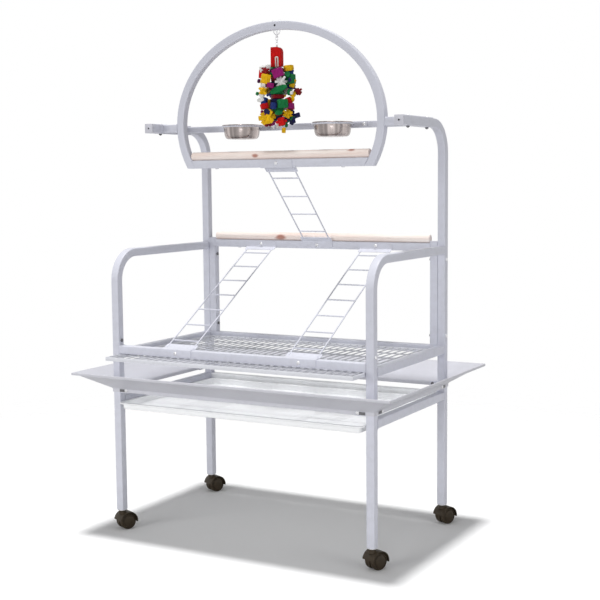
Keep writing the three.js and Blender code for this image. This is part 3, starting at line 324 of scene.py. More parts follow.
def finishes():
    """Every finish by name, made once from the colours in the sidebar."""
    if "Frame powder coat" not in bpy.data.materials:
        tints = bpy.context.scene.play_stand_colours
        knots = [((-0.076, ARCH_Y - 0.012, 1.177), 0.009), ((0.258, ARCH_Y - 0.006, 1.190), 0.008),
                 ((-0.139, LEG_Y - 0.012, 0.911), 0.013), ((0.240, LEG_Y + 0.009, 0.921), 0.008)]
        coat("Frame powder coat", tints.frame_paint, worn=(0.45, 0.45, 0.48))
        # painted shade: a darker copy of the frame's coat, used on the guards
        coat("Guard powder coat", tints.guard_paint, worn=(0.45, 0.45, 0.48))
        coat("Grate coat", tints.grate_paint, patch=14.0, rough=(0.3, 0.45))
        # painted shade: the wires wear the same coat as the grate's bars, and this darker copy stands for the shade
        # they sit in
        coat("Grate wire painted shade coat", shaded(tints.grate_paint, 0.72), mottle=0.04, patch=14.0, rough=(0.35, 0.5))
        coat("Tray enamel", tints.tray_white, mottle=0.008, peel=260.0, relief=0.05, rough=(0.28, 0.4))
        coat("Zinc plate", tints.zinc, mottle=0.12, patch=90.0, rough=(0.22, 0.4), metallic=0.7, rub=0.2)
        # partly blackened steel, partly painted shade: nuts and clips that sit in shadow are made dark by their colour
        coat("Dark steel", (0.17, 0.17, 0.18), mottle=0.2, patch=120.0, rough=(0.4, 0.6), metallic=0.4)
        coat("Caster plastic", tints.caster, mottle=0.18, patch=60.0, peel=1500.0, relief=0.3,
             rough=(0.38, 0.55), worn=(0.13, 0.10, 0.075), specular=0.22)
        coat("Cap plastic", tints.cap, patch=40.0, peel=1800.0, rough=(0.45, 0.6))
        # painted shade: near-black for flat discs that stand for the dark inside of holes
        coat("Dark hole", (0.02, 0.02, 0.022), mottle=0.2, patch=200.0, rough=(0.7, 0.9))
        spun_steel("Stainless steel", tints.stainless, BOWL_X, BOWL_Y)
        perch_wood("Perch wood", tints.perch_wood, tints.perch_knot, knots)
        coat("Cotton rope", (0.78, 0.74, 0.68), mottle=0.12, patch=300.0, peel=2500.0, relief=0.6,
             rough=(0.8, 0.95))
        for name, tint in DYES.items():
            dyed_wood(f"Dyed wood {name}", tint)
    return bpy.data.materials


# ---- Modelling ----------------------------------------------------------------------------------


def faces_of(result):
    """The new faces of an operator's result."""
    return [part for part in result["geom"] if isinstance(part, bmesh.types.BMFace)]


def verts_of(result):
    """The new vertices of an operator's result."""
    return [part for part in result["geom"] if isinstance(part, bmesh.types.BMVert)]


def brought(bm, matrix):
    """A shape brought to its place."""
    bmesh.ops.transform(bm, matrix=matrix, verts=bm.verts)
    return bm


def bevel(bm, parts, offset, segments=3, affect="EDGES"):
    """Rounds edges or corners by one radius."""
    return bmesh.ops.bevel(bm, geom=parts, offset=offset, offset_type="OFFSET", affect=affect,
                           segments=segments, profile=0.5, material=-1)


def flat_plate(width, height, corner, segments=4):
    """A flat rounded rectangle about the origin, facing +Z."""
    bm = bmesh.new()
    bmesh.ops.create_grid(bm, x_segments=1, y_segments=1, size=0.5)
    bmesh.ops.scale(bm, vec=(width, height, 1), verts=bm.verts)
    if corner:
        bevel(bm, bm.verts[:], corner, segments, "VERTICES")
    return bm


def tube_section(size, corner, wall):
    """The section of a square tube, a flat ring facing +Z."""
    bm = flat_plate(size, size, corner)
    ring = set(bmesh.ops.inset_region(bm, faces=bm.faces[:], thickness=wall, use_even_offset=True,
                                      use_boundary=True)["faces"])
    bmesh.ops.delete(bm, geom=[face for face in bm.faces if face not in ring], context="FACES_ONLY")
    return bm


def round_section(radius, sides=12):
    """The section of a round bar, a disc facing +Z."""
    bm = bmesh.new()
    bmesh.ops.create_circle(bm, cap_ends=True, segments=sides, radius=radius)
    return bm


def station(place, along, side, cut=None):
    """Where a section stands on its path: across `along`, with its X on `side`; `cut` is the normal of a
    slanted end."""
    z = along.normalized()
    x = side.normalized()
    y = z.cross(x)
    if cut is not None:
        y = y - z * (y.dot(cut) / z.dot(cut))
    made = Matrix((x, y, z)).transposed().to_4x4()
    made.translation = place
    return made


def straight(start, end, side):
    """The two stations of a straight run."""
    return [station(start, end - start, side), station(end, end - start, side)]


def bent(corners, side, bend, steps=18):
    """Stations along straight runs joined by bends of one radius."""
    runs = [(end - start).normalized() for start, end in zip(corners, corners[1:])]
    made = [station(corners[0], runs[0], side)]
    for corner, before, after in zip(corners[1:], runs, runs[1:]):
        turn = before.angle(after)
        axis = before.cross(after).normalized()
        start = corner - before * bend * math.tan(turn / 2)
        centre = start + axis.cross(before) * bend
        for step in range(steps + 1):
            part_turn = Matrix.Rotation(turn * step / steps, 3, axis)
            made.append(station(centre + part_turn @ (start - centre), part_turn @ before, side))
    made.append(station(corners[-1], runs[-1], side))
    return made


def sweep(bm, stations):
    """Extrudes a flat section through its stations, into a closed body."""
    brought(bm, stations[0])
    faces = bm.faces[:]
    for before, after in zip(stations, stations[1:]):
        edges = {edge for face in faces for edge in face.edges}
        corners = {corner for face in faces for corner in face.verts}
        moved = bmesh.ops.extrude_face_region(bm, geom=[*faces, *edges, *corners])
        faces = faces_of(moved)
        bmesh.ops.transform(bm, matrix=after @ before.inverted(), verts=verts_of(moved))
    bmesh.ops.recalc_face_normals(bm, faces=bm.faces)
    return bm


def turned(profile, place=Matrix(), segments=32):
    """A profile of (radius, height) points, turned about Z, at a place."""
    bm = bmesh.new()
    points = [bm.verts.new((radius, 0, height)) for radius, height in profile]
    edges = [bm.edges.new(pair) for pair in zip(points, points[1:])]
    bmesh.ops.spin(bm, geom=points + edges, cent=(0, 0, 0), axis=Z, angle=2 * math.pi, steps=segments,
                   use_merge=True, use_duplicate=False)
    bmesh.ops.remove_doubles(bm, verts=bm.verts[:], dist=1e-6)
    bmesh.ops.recalc_face_normals(bm, faces=bm.faces)
    return brought(bm, place)


def ring(radius, wire, place=Matrix(), stretch=1.0, around=10, along=32):
    """A wire ring in the XY plane, stretched along Y for an oval link."""
    bm = bmesh.new()
    bmesh.ops.create_circle(bm, segments=around, radius=wire,
                            matrix=Matrix.Translation((radius, 0, 0)) @ Matrix.Rotation(math.pi / 2, 4, "X"))
    bmesh.ops.spin(bm, geom=bm.verts[:] + bm.edges[:], cent=(0, 0, 0), axis=Z, angle=2 * math.pi,
                   steps=along, use_merge=True, use_duplicate=False)
    bmesh.ops.remove_doubles(bm, verts=bm.verts[:], dist=1e-6)
    straight_run = radius * (stretch - 1)
    for corner in bm.verts:
        corner.co.y += math.copysign(straight_run, corner.co.y) if abs(corner.co.y) > 1e-7 else 0
    bmesh.ops.recalc_face_normals(bm, faces=bm.faces)
    return brought(bm, place)


def bar(radius, start, end, sides=12):
    """A round bar between two points."""
    run = end - start
    side = X if abs(run.normalized().x) < 0.9 else Y
    return sweep(round_section(radius, sides), straight(start, end, side.cross(run).normalized()))


def block(size, place=Matrix(), corner=0.0, segments=2):
    """A box about a place, its edges rounded."""
    bm = bmesh.new()
    bmesh.ops.create_cube(bm, size=1.0)
    bmesh.ops.scale(bm, vec=size, verts=bm.verts)
    if corner:
        bevel(bm, bm.edges[:], corner, segments)
    return brought(bm, place)


def folded_sheet(points, width, thickness, fold=0.003, corner=0.003):
    """Sheet metal along X, folded through (y, z) points, with the metal to the left of them."""
    bm = bmesh.new()
    line = [bm.verts.new((-width / 2, y, z)) for y, z in points]
    edges = [bm.edges.new(pair) for pair in zip(line, line[1:])]
    moved = bmesh.ops.extrude_edge_only(bm, edges=edges)
    bmesh.ops.translate(bm, vec=(width, 0, 0), verts=verts_of(moved))
    if corner:
        bevel(bm, [vert for vert in bm.verts if len(vert.link_edges) == 2], corner, 3, "VERTICES")
    folds = [edge for edge in bm.edges if len(edge.link_faces) == 2]
    bevel(bm, folds, fold, 4)
    bm.normal_update()
    bmesh.ops.solidify(bm, geom=bm.faces[:], thickness=-thickness)
    bmesh.ops.recalc_face_normals(bm, faces=bm.faces)
    return bm


def gather(bodies, material_of=None):
    """Several bodies in one mesh; material_of gives each body's material slot."""
    whole = bmesh.new()
    for index, body in enumerate(bodies):
        if material_of:
            for face in body.faces:
                face.material_index = material_of[index]
        part = bpy.data.meshes.new("part")
        body.to_mesh(part)
        body.free()
        whole.from_mesh(part)
        bpy.data.meshes.remove(part)
    return whole


def piece(name, shape, finish, body, nodes=(), crease=40):
    """A finished piece in the scene, riding on its body and standing for the frame's own nodes."""
    bm = gather(shape) if isinstance(shape, list) else shape
    mesh = bpy.data.meshes.new(name)
    bm.to_mesh(mesh)
    bm.free()
    mesh.polygons.foreach_set("use_smooth", [True] * len(mesh.polygons))
    mesh.set_sharp_from_angle(angle=math.radians(crease))
    for one in finish if isinstance(finish, list) else [finish]:
        mesh.materials.append(finishes()[one])
    made = bpy.data.objects.new(name, mesh)
    bpy.context.scene.collection.objects.link(made)
    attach(made, body)
    if nodes:
        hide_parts(*nodes)
    return made


def tube(name, stations, nodes=(), body="stand", size=None, finish="Frame powder coat", slot="frame_paint"):
    """A square tube of the frame along its stations."""
    sizes = bpy.context.scene.play_stand_sizes
    section = tube_section(size or sizes.tube, sizes.tube_corner, sizes.tube_wall)
    return piece(name, sweep(section, stations), finish, body, nodes)


def at(x, y, z):
    """A place as a matrix."""
    return Matrix.Translation((x, y, z))


def facing(direction, place):
    """A matrix that turns +Z to a direction, at a place."""
    turn = Z.rotation_difference(Vector(direction)).to_matrix().to_4x4()
    return Matrix.Translation(place) @ turn


BOLT_HEAD = [(0, -0.0015), (0.0028, -0.0015), (0.0028, 0), (0.0060, 0), (0.0060, 0.0008), (0.0055, 0.0019),
             (0.0042, 0.0027), (0.0022, 0.0030), (0.0020, 0.0022), (0, 0.0022)]


def bolt(direction, place):
    """The domed head of a frame bolt, its underside at a place."""
    return turned(BOLT_HEAD, facing(direction, place), 20)


def nut(direction, place, radius=0.0056, height=0.004):
    """A hexagon nut with a bolt's end, its base at a place."""
    end = [(0, -0.001), (0.0027, -0.001), (0.0027, height + 0.0012), (0.0022, height + 0.0018),
           (0, height + 0.0018)]
    body = sweep(round_section(radius, 6), straight(Vector((0, 0, 0)), Vector((0, 0, height)), X))
    bevel(body, [edge for edge in body.edges if abs(edge.verts[0].co.z - edge.verts[1].co.z) < 1e-6], 0.0006, 2)
    return gather([brought(body, facing(direction, place)), turned(end, facing(direction, place), 12)])


def weld(place, normal, size):
    """A bead of weld round the end of a square tube that meets a face at a place."""
    half = size / 2 + 0.0002
    side = X if abs(normal.x) < 0.9 else Y
    other = normal.cross(side)
    corners = [place + side * half * a + other * half * b for a, b in ((1, 1), (-1, 1), (-1, -1), (1, -1))]
    return [bar(0.0011, start, end, 8) for start, end in zip(corners, corners[1:] + corners[:1])]


# ---- Lower frame --------------------------------------------------------------------------------


class PLAYSTAND_OT_lower_frame(bpy.types.Operator):
    """Builds the legs, the rails between them and the runners of the tray and grate"""
    bl_idname = "play_stand.lower_frame"
    bl_label = "Lower frame"

    def execute(self, context):
        sizes = context.scene.play_stand_sizes
        half = sizes.tube / 2
        across_x = LEG_X - half - SEAT
        across_y = LEG_Y - half - SEAT
        for corner, (x, y) in CORNERS.items():
            foot, top = Vector((x * LEG_X, y * LEG_Y, LEG_FOOT_Z)), Vector((x * LEG_X, y * LEG_Y, LEG_TOP_Z))
            tube(f"{corner}_leg_tube", straight(foot, top, X), [f"{corner}_leg"])
        along_x = {"front_deck_rail": (-LEG_Y, LEG_TOP_Z - half), "rear_deck_rail": (LEG_Y, DECK_RAIL_Z),
                   "rear_lower_rail": (LEG_Y, LOWER_RAIL_Z)}
        for name, (y, z) in along_x.items():
            run = straight(Vector((-across_x, y, z)), Vector((across_x, y, z)), Y)
            white = name == "rear_lower_rail"  # painted light: this rail takes the tray's white enamel instead of the frame's powder coat, so the strip behind the tray reads bright white
            tube(f"{name}_tube", run, [name], finish="Tray enamel" if white else "Frame powder coat")
        for side, x in SIDES.items():
            for name, z in (("deck_rail", DECK_RAIL_Z), ("lower_rail", LOWER_RAIL_Z)):
                run = straight(Vector((x * LEG_X, -across_y, z)), Vector((x * LEG_X, across_y, z)), X)
                tube(f"{side}_{name}_tube", run, [f"{side}_{name}"])
            for name, ledge in (("tray", TRAY_LEDGE_Z), ("grate", GRATE_LEDGE_Z)):
                low = ledge - PLATE
                outline = [(-RUNNER_REACH, low), (-SEAT, low), (-SEAT, low + RUNNER_HEIGHT)]
                angle = folded_sheet(outline, 2 * across_y, PLATE, 0.0018, 0.002)
                turn = Matrix.Rotation(math.pi / 2 * -x, 4, "Z")
                angle = brought(angle, at(x * (LEG_X - half), 0, 0) @ turn)
                piece(f"{side}_{name}_runner", angle, "Frame powder coat", "stand")
        self.welds(half, across_x, across_y)
        return {"FINISHED"}

    def welds(self, half, across_x, across_y):
        """Beads where the rails meet the legs."""
        beads = []
        for x in (-1, 1):
            for y, z in ((-LEG_Y, LEG_TOP_Z - half), (LEG_Y, DECK_RAIL_Z), (LEG_Y, LOWER_RAIL_Z)):
                beads += weld(Vector((x * across_x, y, z)), X * x, 2 * half)
            for y in (-1, 1):
                for z in (DECK_RAIL_Z, LOWER_RAIL_Z):
                    beads += weld(Vector((x * LEG_X, y * across_y, z)), Y * y, 2 * half)
        piece("rail_welds", beads, "Frame powder coat", "stand")


class PLAYSTAND_OT_seed_guards(bpy.types.Operator):
    """Builds the four slanted seed guards with their brackets and bolts"""
    bl_idname = "play_stand.seed_guards"
    bl_label = "Seed guards"

    def execute(self, context):
        sizes = context.scene.play_stand_sizes
        half = sizes.tube / 2
        brackets, bolts, nuts = [], [], []
        around = (("front", LEG_X, LEG_Y), ("right", LEG_Y, LEG_X), ("rear", LEG_X, LEG_Y), ("left", LEG_Y, LEG_X))
        for quarter, (side, reach_along, out) in enumerate(around):
            along = reach_along + half
            place = Matrix.Rotation(quarter * math.pi / 2, 4, "Z") @ at(0, -out - half, 0)
            piece(f"{side}_guard_sheet", self.guard(sizes, along, place), "Guard powder coat", "stand",
                  [f"{side}_guard"])
            for x in (-1, 1):
                bolt_x = x * (along - sizes.tube - 0.025)
                bolt_place = place @ at(bolt_x, -SEAT - sizes.guard_sheet, GUARD_BOLT_Z)
                bolts.append(brought(bolt((0, -1, 0), (0, 0, 0)), bolt_place))
                nuts.append(brought(nut((0, 1, 0), (0, 0, 0)), place @ at(bolt_x, 0.002, GUARD_BOLT_Z)))
                # partly a clip, partly painted shade: a small dark block beside each guard bolt darkens the corner
                # under the guard
                clip_x = x * (along - sizes.tube - 0.0105)
                nuts.append(block((0.020, 0.0015, 0.0080), place @ at(clip_x, -0.0026, GUARD_BOLT_Z - 0.0005), 0.0007))
                brackets.append(self.bracket(x, along - sizes.tube, place))
        piece("guard_brackets", brackets, "Frame powder coat", "stand")
        piece("guard_bolts", bolts, "Zinc plate", "stand")
        piece("guard_nuts_and_clips", nuts, "Dark steel", "stand")
        return {"FINISHED"}

    def guard(self, sizes, along, place):
        """One guard at the front of the stand, mitred to its neighbours, brought to its place."""
        reach, sheet = sizes.guard_reach, sizes.guard_sheet
        outline = list(zip((-SEAT, -SEAT, -reach, -reach), GUARD_Z))
        bm = folded_sheet(outline, 2 * (along + reach) + sizes.tube, sheet, 0.0035, 0)
        trim = SEAT / math.sqrt(2)
        for x in (-1, 1):
            cut = bmesh.ops.bisect_plane(bm, geom=bm.verts[:] + bm.edges[:] + bm.faces[:],
                                         plane_co=(x * (along - trim), 0, 0), plane_no=(x, 1, 0), clear_outer=True)
            rim = [part for part in cut["geom_cut"] if isinstance(part, bmesh.types.BMEdge)]
            bmesh.ops.edgeloop_fill(bm, edges=rim)
        bmesh.ops.recalc_face_normals(bm, faces=bm.faces)
        return brought(bm, place)

    def bracket(self, x, inner, place):
        """A welded tab for a guard's bolt, in the corner between a leg and its guard."""
        tab = block((0.036, 0.002, 0.016), at(x * (inner - 0.018), 0.001, GUARD_BOLT_Z), 0.0008)
        foot = block((0.0021, 0.0165, 0.0158), at(x * (inner - 0.00115), 0.00975, GUARD_BOLT_Z), 0.0008)
        return brought(gather([tab, foot]), place)


# ---- Tray and grate -----------------------------------------------------------------------------


class PLAYSTAND_OT_tray_and_grate(bpy.types.Operator):
    """Builds the pressed tray and the welded wire grate"""
    bl_idname = "play_stand.tray_and_grate"
    bl_label = "Tray and grate"

    def execute(self, context):
        sizes = context.scene.play_stand_sizes
        piece("tray_pan", [self.tray(sizes), self.tray_edge()], "Tray enamel", "tray", ["tray"])
        piece("grate_wires", self.grate(sizes), ["Grate coat", "Grate wire painted shade coat"], "grate", ["grate"])
        return {"FINISHED"}

    def tray(self, sizes):
        """A rounded pan under a flat rim."""
        length_y = TRAY_Y[1] - TRAY_Y[0]
        sheet, depth = sizes.tray_sheet, sizes.tray_depth
        bm = flat_plate(2 * TRAY_HALF_WIDTH, length_y, 0.020)
        floor = bm.faces[:]
        wall = depth - sheet - 0.0042
        for inward, drop in ((0.0100, 0), (0.0010, 0.0003), (0.0010, 0.0010), (0.0006, wall), (0.0010, 0.0020),
                             (0.0022, 0.0009)):
            bmesh.ops.inset_region(bm, faces=floor, thickness=inward, depth=-drop, use_even_offset=True,
                                   use_boundary=True)
        bm.normal_update()
        bmesh.ops.solidify(bm, geom=bm.faces[:], thickness=sheet)
        bmesh.ops.recalc_face_normals(bm, faces=bm.faces)
        bmesh.ops.translate(bm, vec=(0, sum(TRAY_Y) / 2, TRAY_RIM_Z), verts=bm.verts)
        return bm

    def tray_edge(self):
        """The wire that the rim is rolled round."""
        wire = 0.0017
        x, z = TRAY_HALF_WIDTH - wire, TRAY_RIM_Z - 0.0012 - wire
        front, rear = TRAY_Y[0] + wire, TRAY_Y[1] - wire
        gap = 0.0001
        corners = [Vector((-gap, rear, z)), Vector((-x, rear, z)), Vector((-x, front, z)), Vector((x, front, z)),
                   Vector((x, rear, z)), Vector((gap, rear, z))]
        return sweep(round_section(wire, 10), bent(corners, Z, 0.0183, 6))

    def grate(self, sizes):
        """Flat bars all round, wires from front to rear and cross wires below them."""
        bar_width, bar_height = 0.003, 0.012
        middle_y, length_y = sum(GRATE_Y) / 2, GRATE_Y[1] - GRATE_Y[0]
        bar_z = GRATE_TOP_Z - bar_height / 2
        side_x = TRAY_HALF_WIDTH - bar_width / 2
        parts = [block((2 * TRAY_HALF_WIDTH, bar_width, bar_height), at(0, y, bar_z), 0.0008)
                 for y in (GRATE_Y[0] + bar_width / 2, GRATE_Y[1] - bar_width / 2)]
        parts += [block((bar_width, length_y - 2 * bar_width, bar_height), at(x * side_x, middle_y, bar_z), 0.0008)
                  for x in (-1, 1)]
        frame_parts = len(parts)
        wire, pitch = sizes.grate_wire, sizes.grate_pitch
        wire_z = GRATE_TOP_Z - wire - 0.001
        count = int(2 * side_x / pitch)
        for i in range(count):
            x = (i - (count - 1) / 2) * pitch
            parts.append(bar(wire, Vector((x, GRATE_Y[0] + 0.002, wire_z)), Vector((x, GRATE_Y[1] - 0.002, wire_z)), 8))
        for i in range(1, 6):
            y = GRATE_Y[0] + i * length_y / 6
            low = wire_z - 2 * wire
            parts.append(bar(wire, Vector((-side_x, y, low)), Vector((side_x, y, low)), 8))
        # the wires take slot 1, the darker painted-shade copy of the grate's coat
        return gather(parts, [0] * frame_parts + [1] * (len(parts) - frame_parts))


# ---- Arms, posts and perch frame ----------------------------------------------------------------


class PLAYSTAND_OT_arms_and_posts(bpy.types.Operator):
    """Builds the bent side arms, the bent rear posts, the inner posts, the middle rail and their bolts"""
    bl_idname = "play_stand.arms_and_posts"
    bl_label = "Arms and posts"

    def execute(self, context):
        sizes = context.scene.play_stand_sizes
        half = sizes.tube / 2
        inner_x = LEG_X - sizes.tube - SEAT
        foot_z = LEG_TOP_Z + SEAT
        bolts, nuts = [], []
        for side, x in SIDES.items():
            arm = [Vector((x * LEG_X, -LEG_Y, foot_z)), Vector((x * LEG_X, -LEG_Y, ARM_Z)),
                   Vector((x * LEG_X, LEG_Y - half - SEAT, ARM_Z))]
            tube(f"{side}_side_arm_tube", bent(arm, X, sizes.arm_bend), [f"{side}_side_arm"])
            post = [Vector((x * LEG_X, LEG_Y, foot_z)), Vector((x * LEG_X, LEG_Y, POST_Z)),
                    Vector((x * LEG_X, POST_FRONT_Y, POST_Z))]
            tube(f"{side}_rear_post_tube", bent(post, X, sizes.post_bend), [f"{side}_rear_post"])
            inner = straight(Vector((x * inner_x, LEG_Y, DECK_RAIL_Z + half + SEAT)),
                             Vector((x * inner_x, LEG_Y, INNER_POST_TOP_Z)), X)
            tube(f"{side}_inner_post_tube", inner, [f"{side}_inner_post"])
            outer_face, inner_face = x * (LEG_X + half), x * (LEG_X - half)
            bolts.append(bolt((x, 0, 0), (outer_face, -LEG_Y, JOINT_BOLT_Z)))
            nuts.append(nut((-x, 0, 0), (inner_face, -LEG_Y, JOINT_BOLT_Z)))
            for z in (JOINT_BOLT_Z, POST_BOLT_Z):
                bolts.append(bolt((x, 0, 0), (outer_face, LEG_Y, z)))
                nuts.append(nut((-x, 0, 0), (x * (inner_x - half), LEG_Y, z)))
            bolts.append(bolt((0, 1, 0), (x * LEG_X, LEG_Y + half, ARM_Z)))
            cover = block((sizes.tube, sizes.tube, 0.002), at(x * inner_x, LEG_Y, INNER_POST_TOP_Z + 0.0013), 0.0009)
            spigot = block((0.0218, 0.0218, 0.009), at(x * inner_x, LEG_Y, INNER_POST_TOP_Z - 0.004), 0.0005)
            piece(f"{side}_post_cap_plug", [cover, spigot], "Cap plastic", "stand", [f"{side}_post_cap"])
        span = inner_x - half - SEAT
        middle = straight(Vector((-span, LEG_Y, MIDDLE_RAIL_Z)), Vector((span, LEG_Y, MIDDLE_RAIL_Z)), Y)
        tube("middle_rail_tube", middle, ["middle_rail"])
        beads = [part for x in (-1, 1) for part in weld(Vector((x * span, LEG_Y, MIDDLE_RAIL_Z)), X * x, sizes.tube)]
        piece("middle_rail_welds", beads, "Frame powder coat", "stand")
        piece("post_bolts", bolts, "Zinc plate", "stand")
        piece("post_nuts", nuts, "Dark steel", "stand")
        return {"FINISHED"}


# ---- Arch ---------------------------------------------------------------------------------------


class PLAYSTAND_OT_arch(bpy.types.Operator):
    """Builds the arch, its bottom rail, its sleeves with caps and bolts, and the bowl rail"""
    bl_idname = "play_stand.arch"
    bl_label = "Arch"

    def execute(self, context):
        sizes = context.scene.play_stand_sizes
        half = sizes.tube / 2
        self.half_width = ARCH_HALF_WIDTH - half  # half axes of the arch's centreline
        self.rise = ARCH_RISE - half
        tube("arch_hoop", self.hoop(half), ["arch"])
        tube("arch_rail_tube", self.rail(half), ["arch_rail"])
        bolts, nuts = [], []
        sleeve_half = sizes.sleeve / 2
        for side, x in SIDES.items():
            run = straight(Vector((x * LEG_X, SLEEVE_Y[0], POST_Z)), Vector((x * LEG_X, SLEEVE_Y[1], POST_Z)), X)
            tube(f"{side}_sleeve_tube", run, [f"{side}_sleeve"], size=sizes.sleeve)
            stub_end = LEG_X - sleeve_half
            stub = straight(Vector((x * (ARCH_HALF_WIDTH + SEAT), ARCH_Y, POST_Z)),
                            Vector((x * stub_end, ARCH_Y, POST_Z)), Y)
            tube(f"{side}_sleeve_stub", stub)
            beads = weld(Vector((x * stub_end, ARCH_Y, POST_Z)), X * x, sizes.tube)
            beads += weld(Vector((x * ARCH_HALF_WIDTH, ARCH_Y, POST_Z)), X * x, sizes.tube)
            piece(f"{side}_sleeve_welds", beads, "Frame powder coat", "stand")
            for y in SLEEVE_BOLTS_Y:
                bolts.append(bolt((0, 0, 1), (x * LEG_X, y, POST_Z + sleeve_half)))
                nuts.append(nut((0, 0, -1), (x * LEG_X, y, POST_Z - sleeve_half)))
            piece(f"{side}_sleeve_cap_plug", self.cap(sizes, x), ["Cap plastic", "Dark hole"], "stand",
                  [f"{side}_sleeve_cap"])
        span = LEG_X - sleeve_half - SEAT
        run = straight(Vector((-span, BOWL_RAIL_Y, POST_Z)), Vector((span, BOWL_RAIL_Y, POST_Z)), Y)
        tube("bowl_rail_tube", run, ["bowl_rail"], size=sizes.bowl_rail)
        piece("sleeve_bolts", bolts, "Zinc plate", "stand")
        piece("sleeve_nuts", nuts, "Dark steel", "stand")
        # painted shade: a dark disc on the arch's front face stands for the shade inside the hanger's hole
        plug = turned([(0, -0.001), (0.0034, -0.001), (0.0034, 0.0002), (0.0028, 0.0005), (0, 0.0001)],
                      facing((0, -1, 0), (0, ARCH_Y - half, ARCH_CENTRE_Z + self.rise)), 24)
        piece("arch_hole_shade_disc", plug, "Dark hole", "stand")
        return {"FINISHED"}

    def on_ellipse(self, angle):
        """A point of the arch's centreline and the direction of the arch there."""
        place = Vector((self.half_width * math.cos(angle), ARCH_Y, ARCH_CENTRE_Z + self.rise * math.sin(angle)))
        along = Vector((-self.half_width * math.sin(angle), 0, self.rise * math.cos(angle)))
        return place, along.normalized()

    def hoop(self, half, steps=112):
        """Stations over the arch, its two ends cut level with the underside of its rail."""
        low = -math.asin((ARCH_CENTRE_Z - ARCH_RAIL_Z + half) / self.rise)
        made = []
        for step in range(steps + 1):
            place, along = self.on_ellipse(low + (math.pi - 2 * low) * step / steps)
            made.append(station(place, along, Y, Z if step in (0, steps) else None))
        return made

    def rail(self, half):
        """Stations of the bottom rail, its ends cut along the arch's inner face."""
        place, along = self.on_ellipse(-math.asin((ARCH_CENTRE_Z - ARCH_RAIL_Z) / self.rise))
        inward = Vector((-along.z, 0, along.x))
        end_x = place.x - (half + SEAT) / abs(inward.x)
        made = []
        for x in (-1, 1):
            cut = Vector((x * inward.x, 0, inward.z))
            made.append(station(Vector((x * end_x, ARCH_Y, ARCH_RAIL_Z)), X, Y, cut))
        return made

    def cap(self, sizes, x):
        """A pressed-in cover of a sleeve's front end, with a ring round a thin dark disc in the middle, painted shade
        that stands for a hole.
        """
        place = Vector((x * LEG_X, SLEEVE_Y[0] - 0.0013, POST_Z))
        cover = block((sizes.sleeve, 0.002, sizes.sleeve), at(*place), 0.0009)
        boss = turned([(0, 0), (0.0058, 0), (0.0055, 0.0015), (0.0047, 0.0017), (0.0030, 0.0010), (0.0027, 0), (0, 0)],
                      facing((0, -1, 0), place - Y * 0.001), 24)
        # painted shade: a thin dark disc stands for the hole's dark inside
        hole = turned([(0, -0.0002), (0.0026, -0.0002), (0.0026, 0.0003), (0, 0.0003)],
                      facing((0, -1, 0), place - Y * 0.001), 24)
        return gather([cover, boss, hole], [0, 0, 1])


# ---- Bowls --------------------------------------------------------------------------------------


class PLAYSTAND_OT_bowls(bpy.types.Operator):
    """Builds the two bowls, the wire rings that hold them, and the straps on the bowl rail"""
    bl_idname = "play_stand.bowls"
    bl_label = "Bowls"

    def execute(self, context):
        sizes = context.scene.play_stand_sizes
        rim, height = sizes.bowl_rim, sizes.bowl_height
        ring_z = BOWL_TOP_Z - 0.0058
        bolts = []
        for side, x in SIDES.items():
            place = at(x * BOWL_X, BOWL_Y, BOWL_TOP_Z - height)
            bowl = turned(self.profile(rim, height), place, 72)
            piece(f"{side}_bowl_steel", bowl, "Stainless steel", f"{side}_bowl", [f"{side}_bowl"])
            hoop = ring(rim - 0.0007, sizes.ring_wire, at(x * BOWL_X, BOWL_Y, ring_z), along=72)
            strap = block((0.106, 0.002, 0.018), at(x * BOWL_X + 0.033, STRAP_Y + 0.001, POST_Z), 0.0009)
            tie = block((0.016, 0.0045, 0.0040), at(x * BOWL_X, STRAP_Y - 0.0010, ring_z), 0.0012)
            piece(f"{side}_bowl_holder", [hoop, strap, tie], "Frame powder coat", "stand",
                  [f"{side}_bowl_ring"])
            bolts.append(bolt((0, -1, 0), (x * BOWL_X + 0.076, STRAP_Y, POST_Z)))
        piece("strap_bolts", bolts, "Zinc plate", "stand")
        return {"FINISHED"}

    def profile(self, rim, height):
        """From the middle of the base outside, up over the rolled rim and back down inside."""
        sheet = 0.0009
        wall = [(0.030, 0.0010), (0.036, 0.0), (0.043, 0.0), (0.0470, 0.0010), (0.0508, 0.0034), (0.0536, 0.0076),
                (0.0554, 0.0135), (0.0566, 0.0215), (0.0574, 0.0300), (0.0580, height - 0.0042)]
        bead = [(rim - 0.0016 + 0.0016 * math.sin(turn), height - 0.0016 - 0.0016 * math.cos(turn))
                for turn in (math.pi * step / 8 for step in range(1, 8))]
        inner = [(radius - sheet, z + sheet) for radius, z in reversed(wall[:-1])]
        outside = [(0, 0.0012), *wall, (0.0590, height - 0.0030), (0.0610, height - 0.0028)]
        inside = [(rim - 0.0025, height), (0.0590, height - 0.0004), (0.0572, height - 0.0030), *inner,
                  (0, 0.0012 + sheet)]
        return outside + bead + inside


# ---- Perches ------------------------------------------------------------------------------------


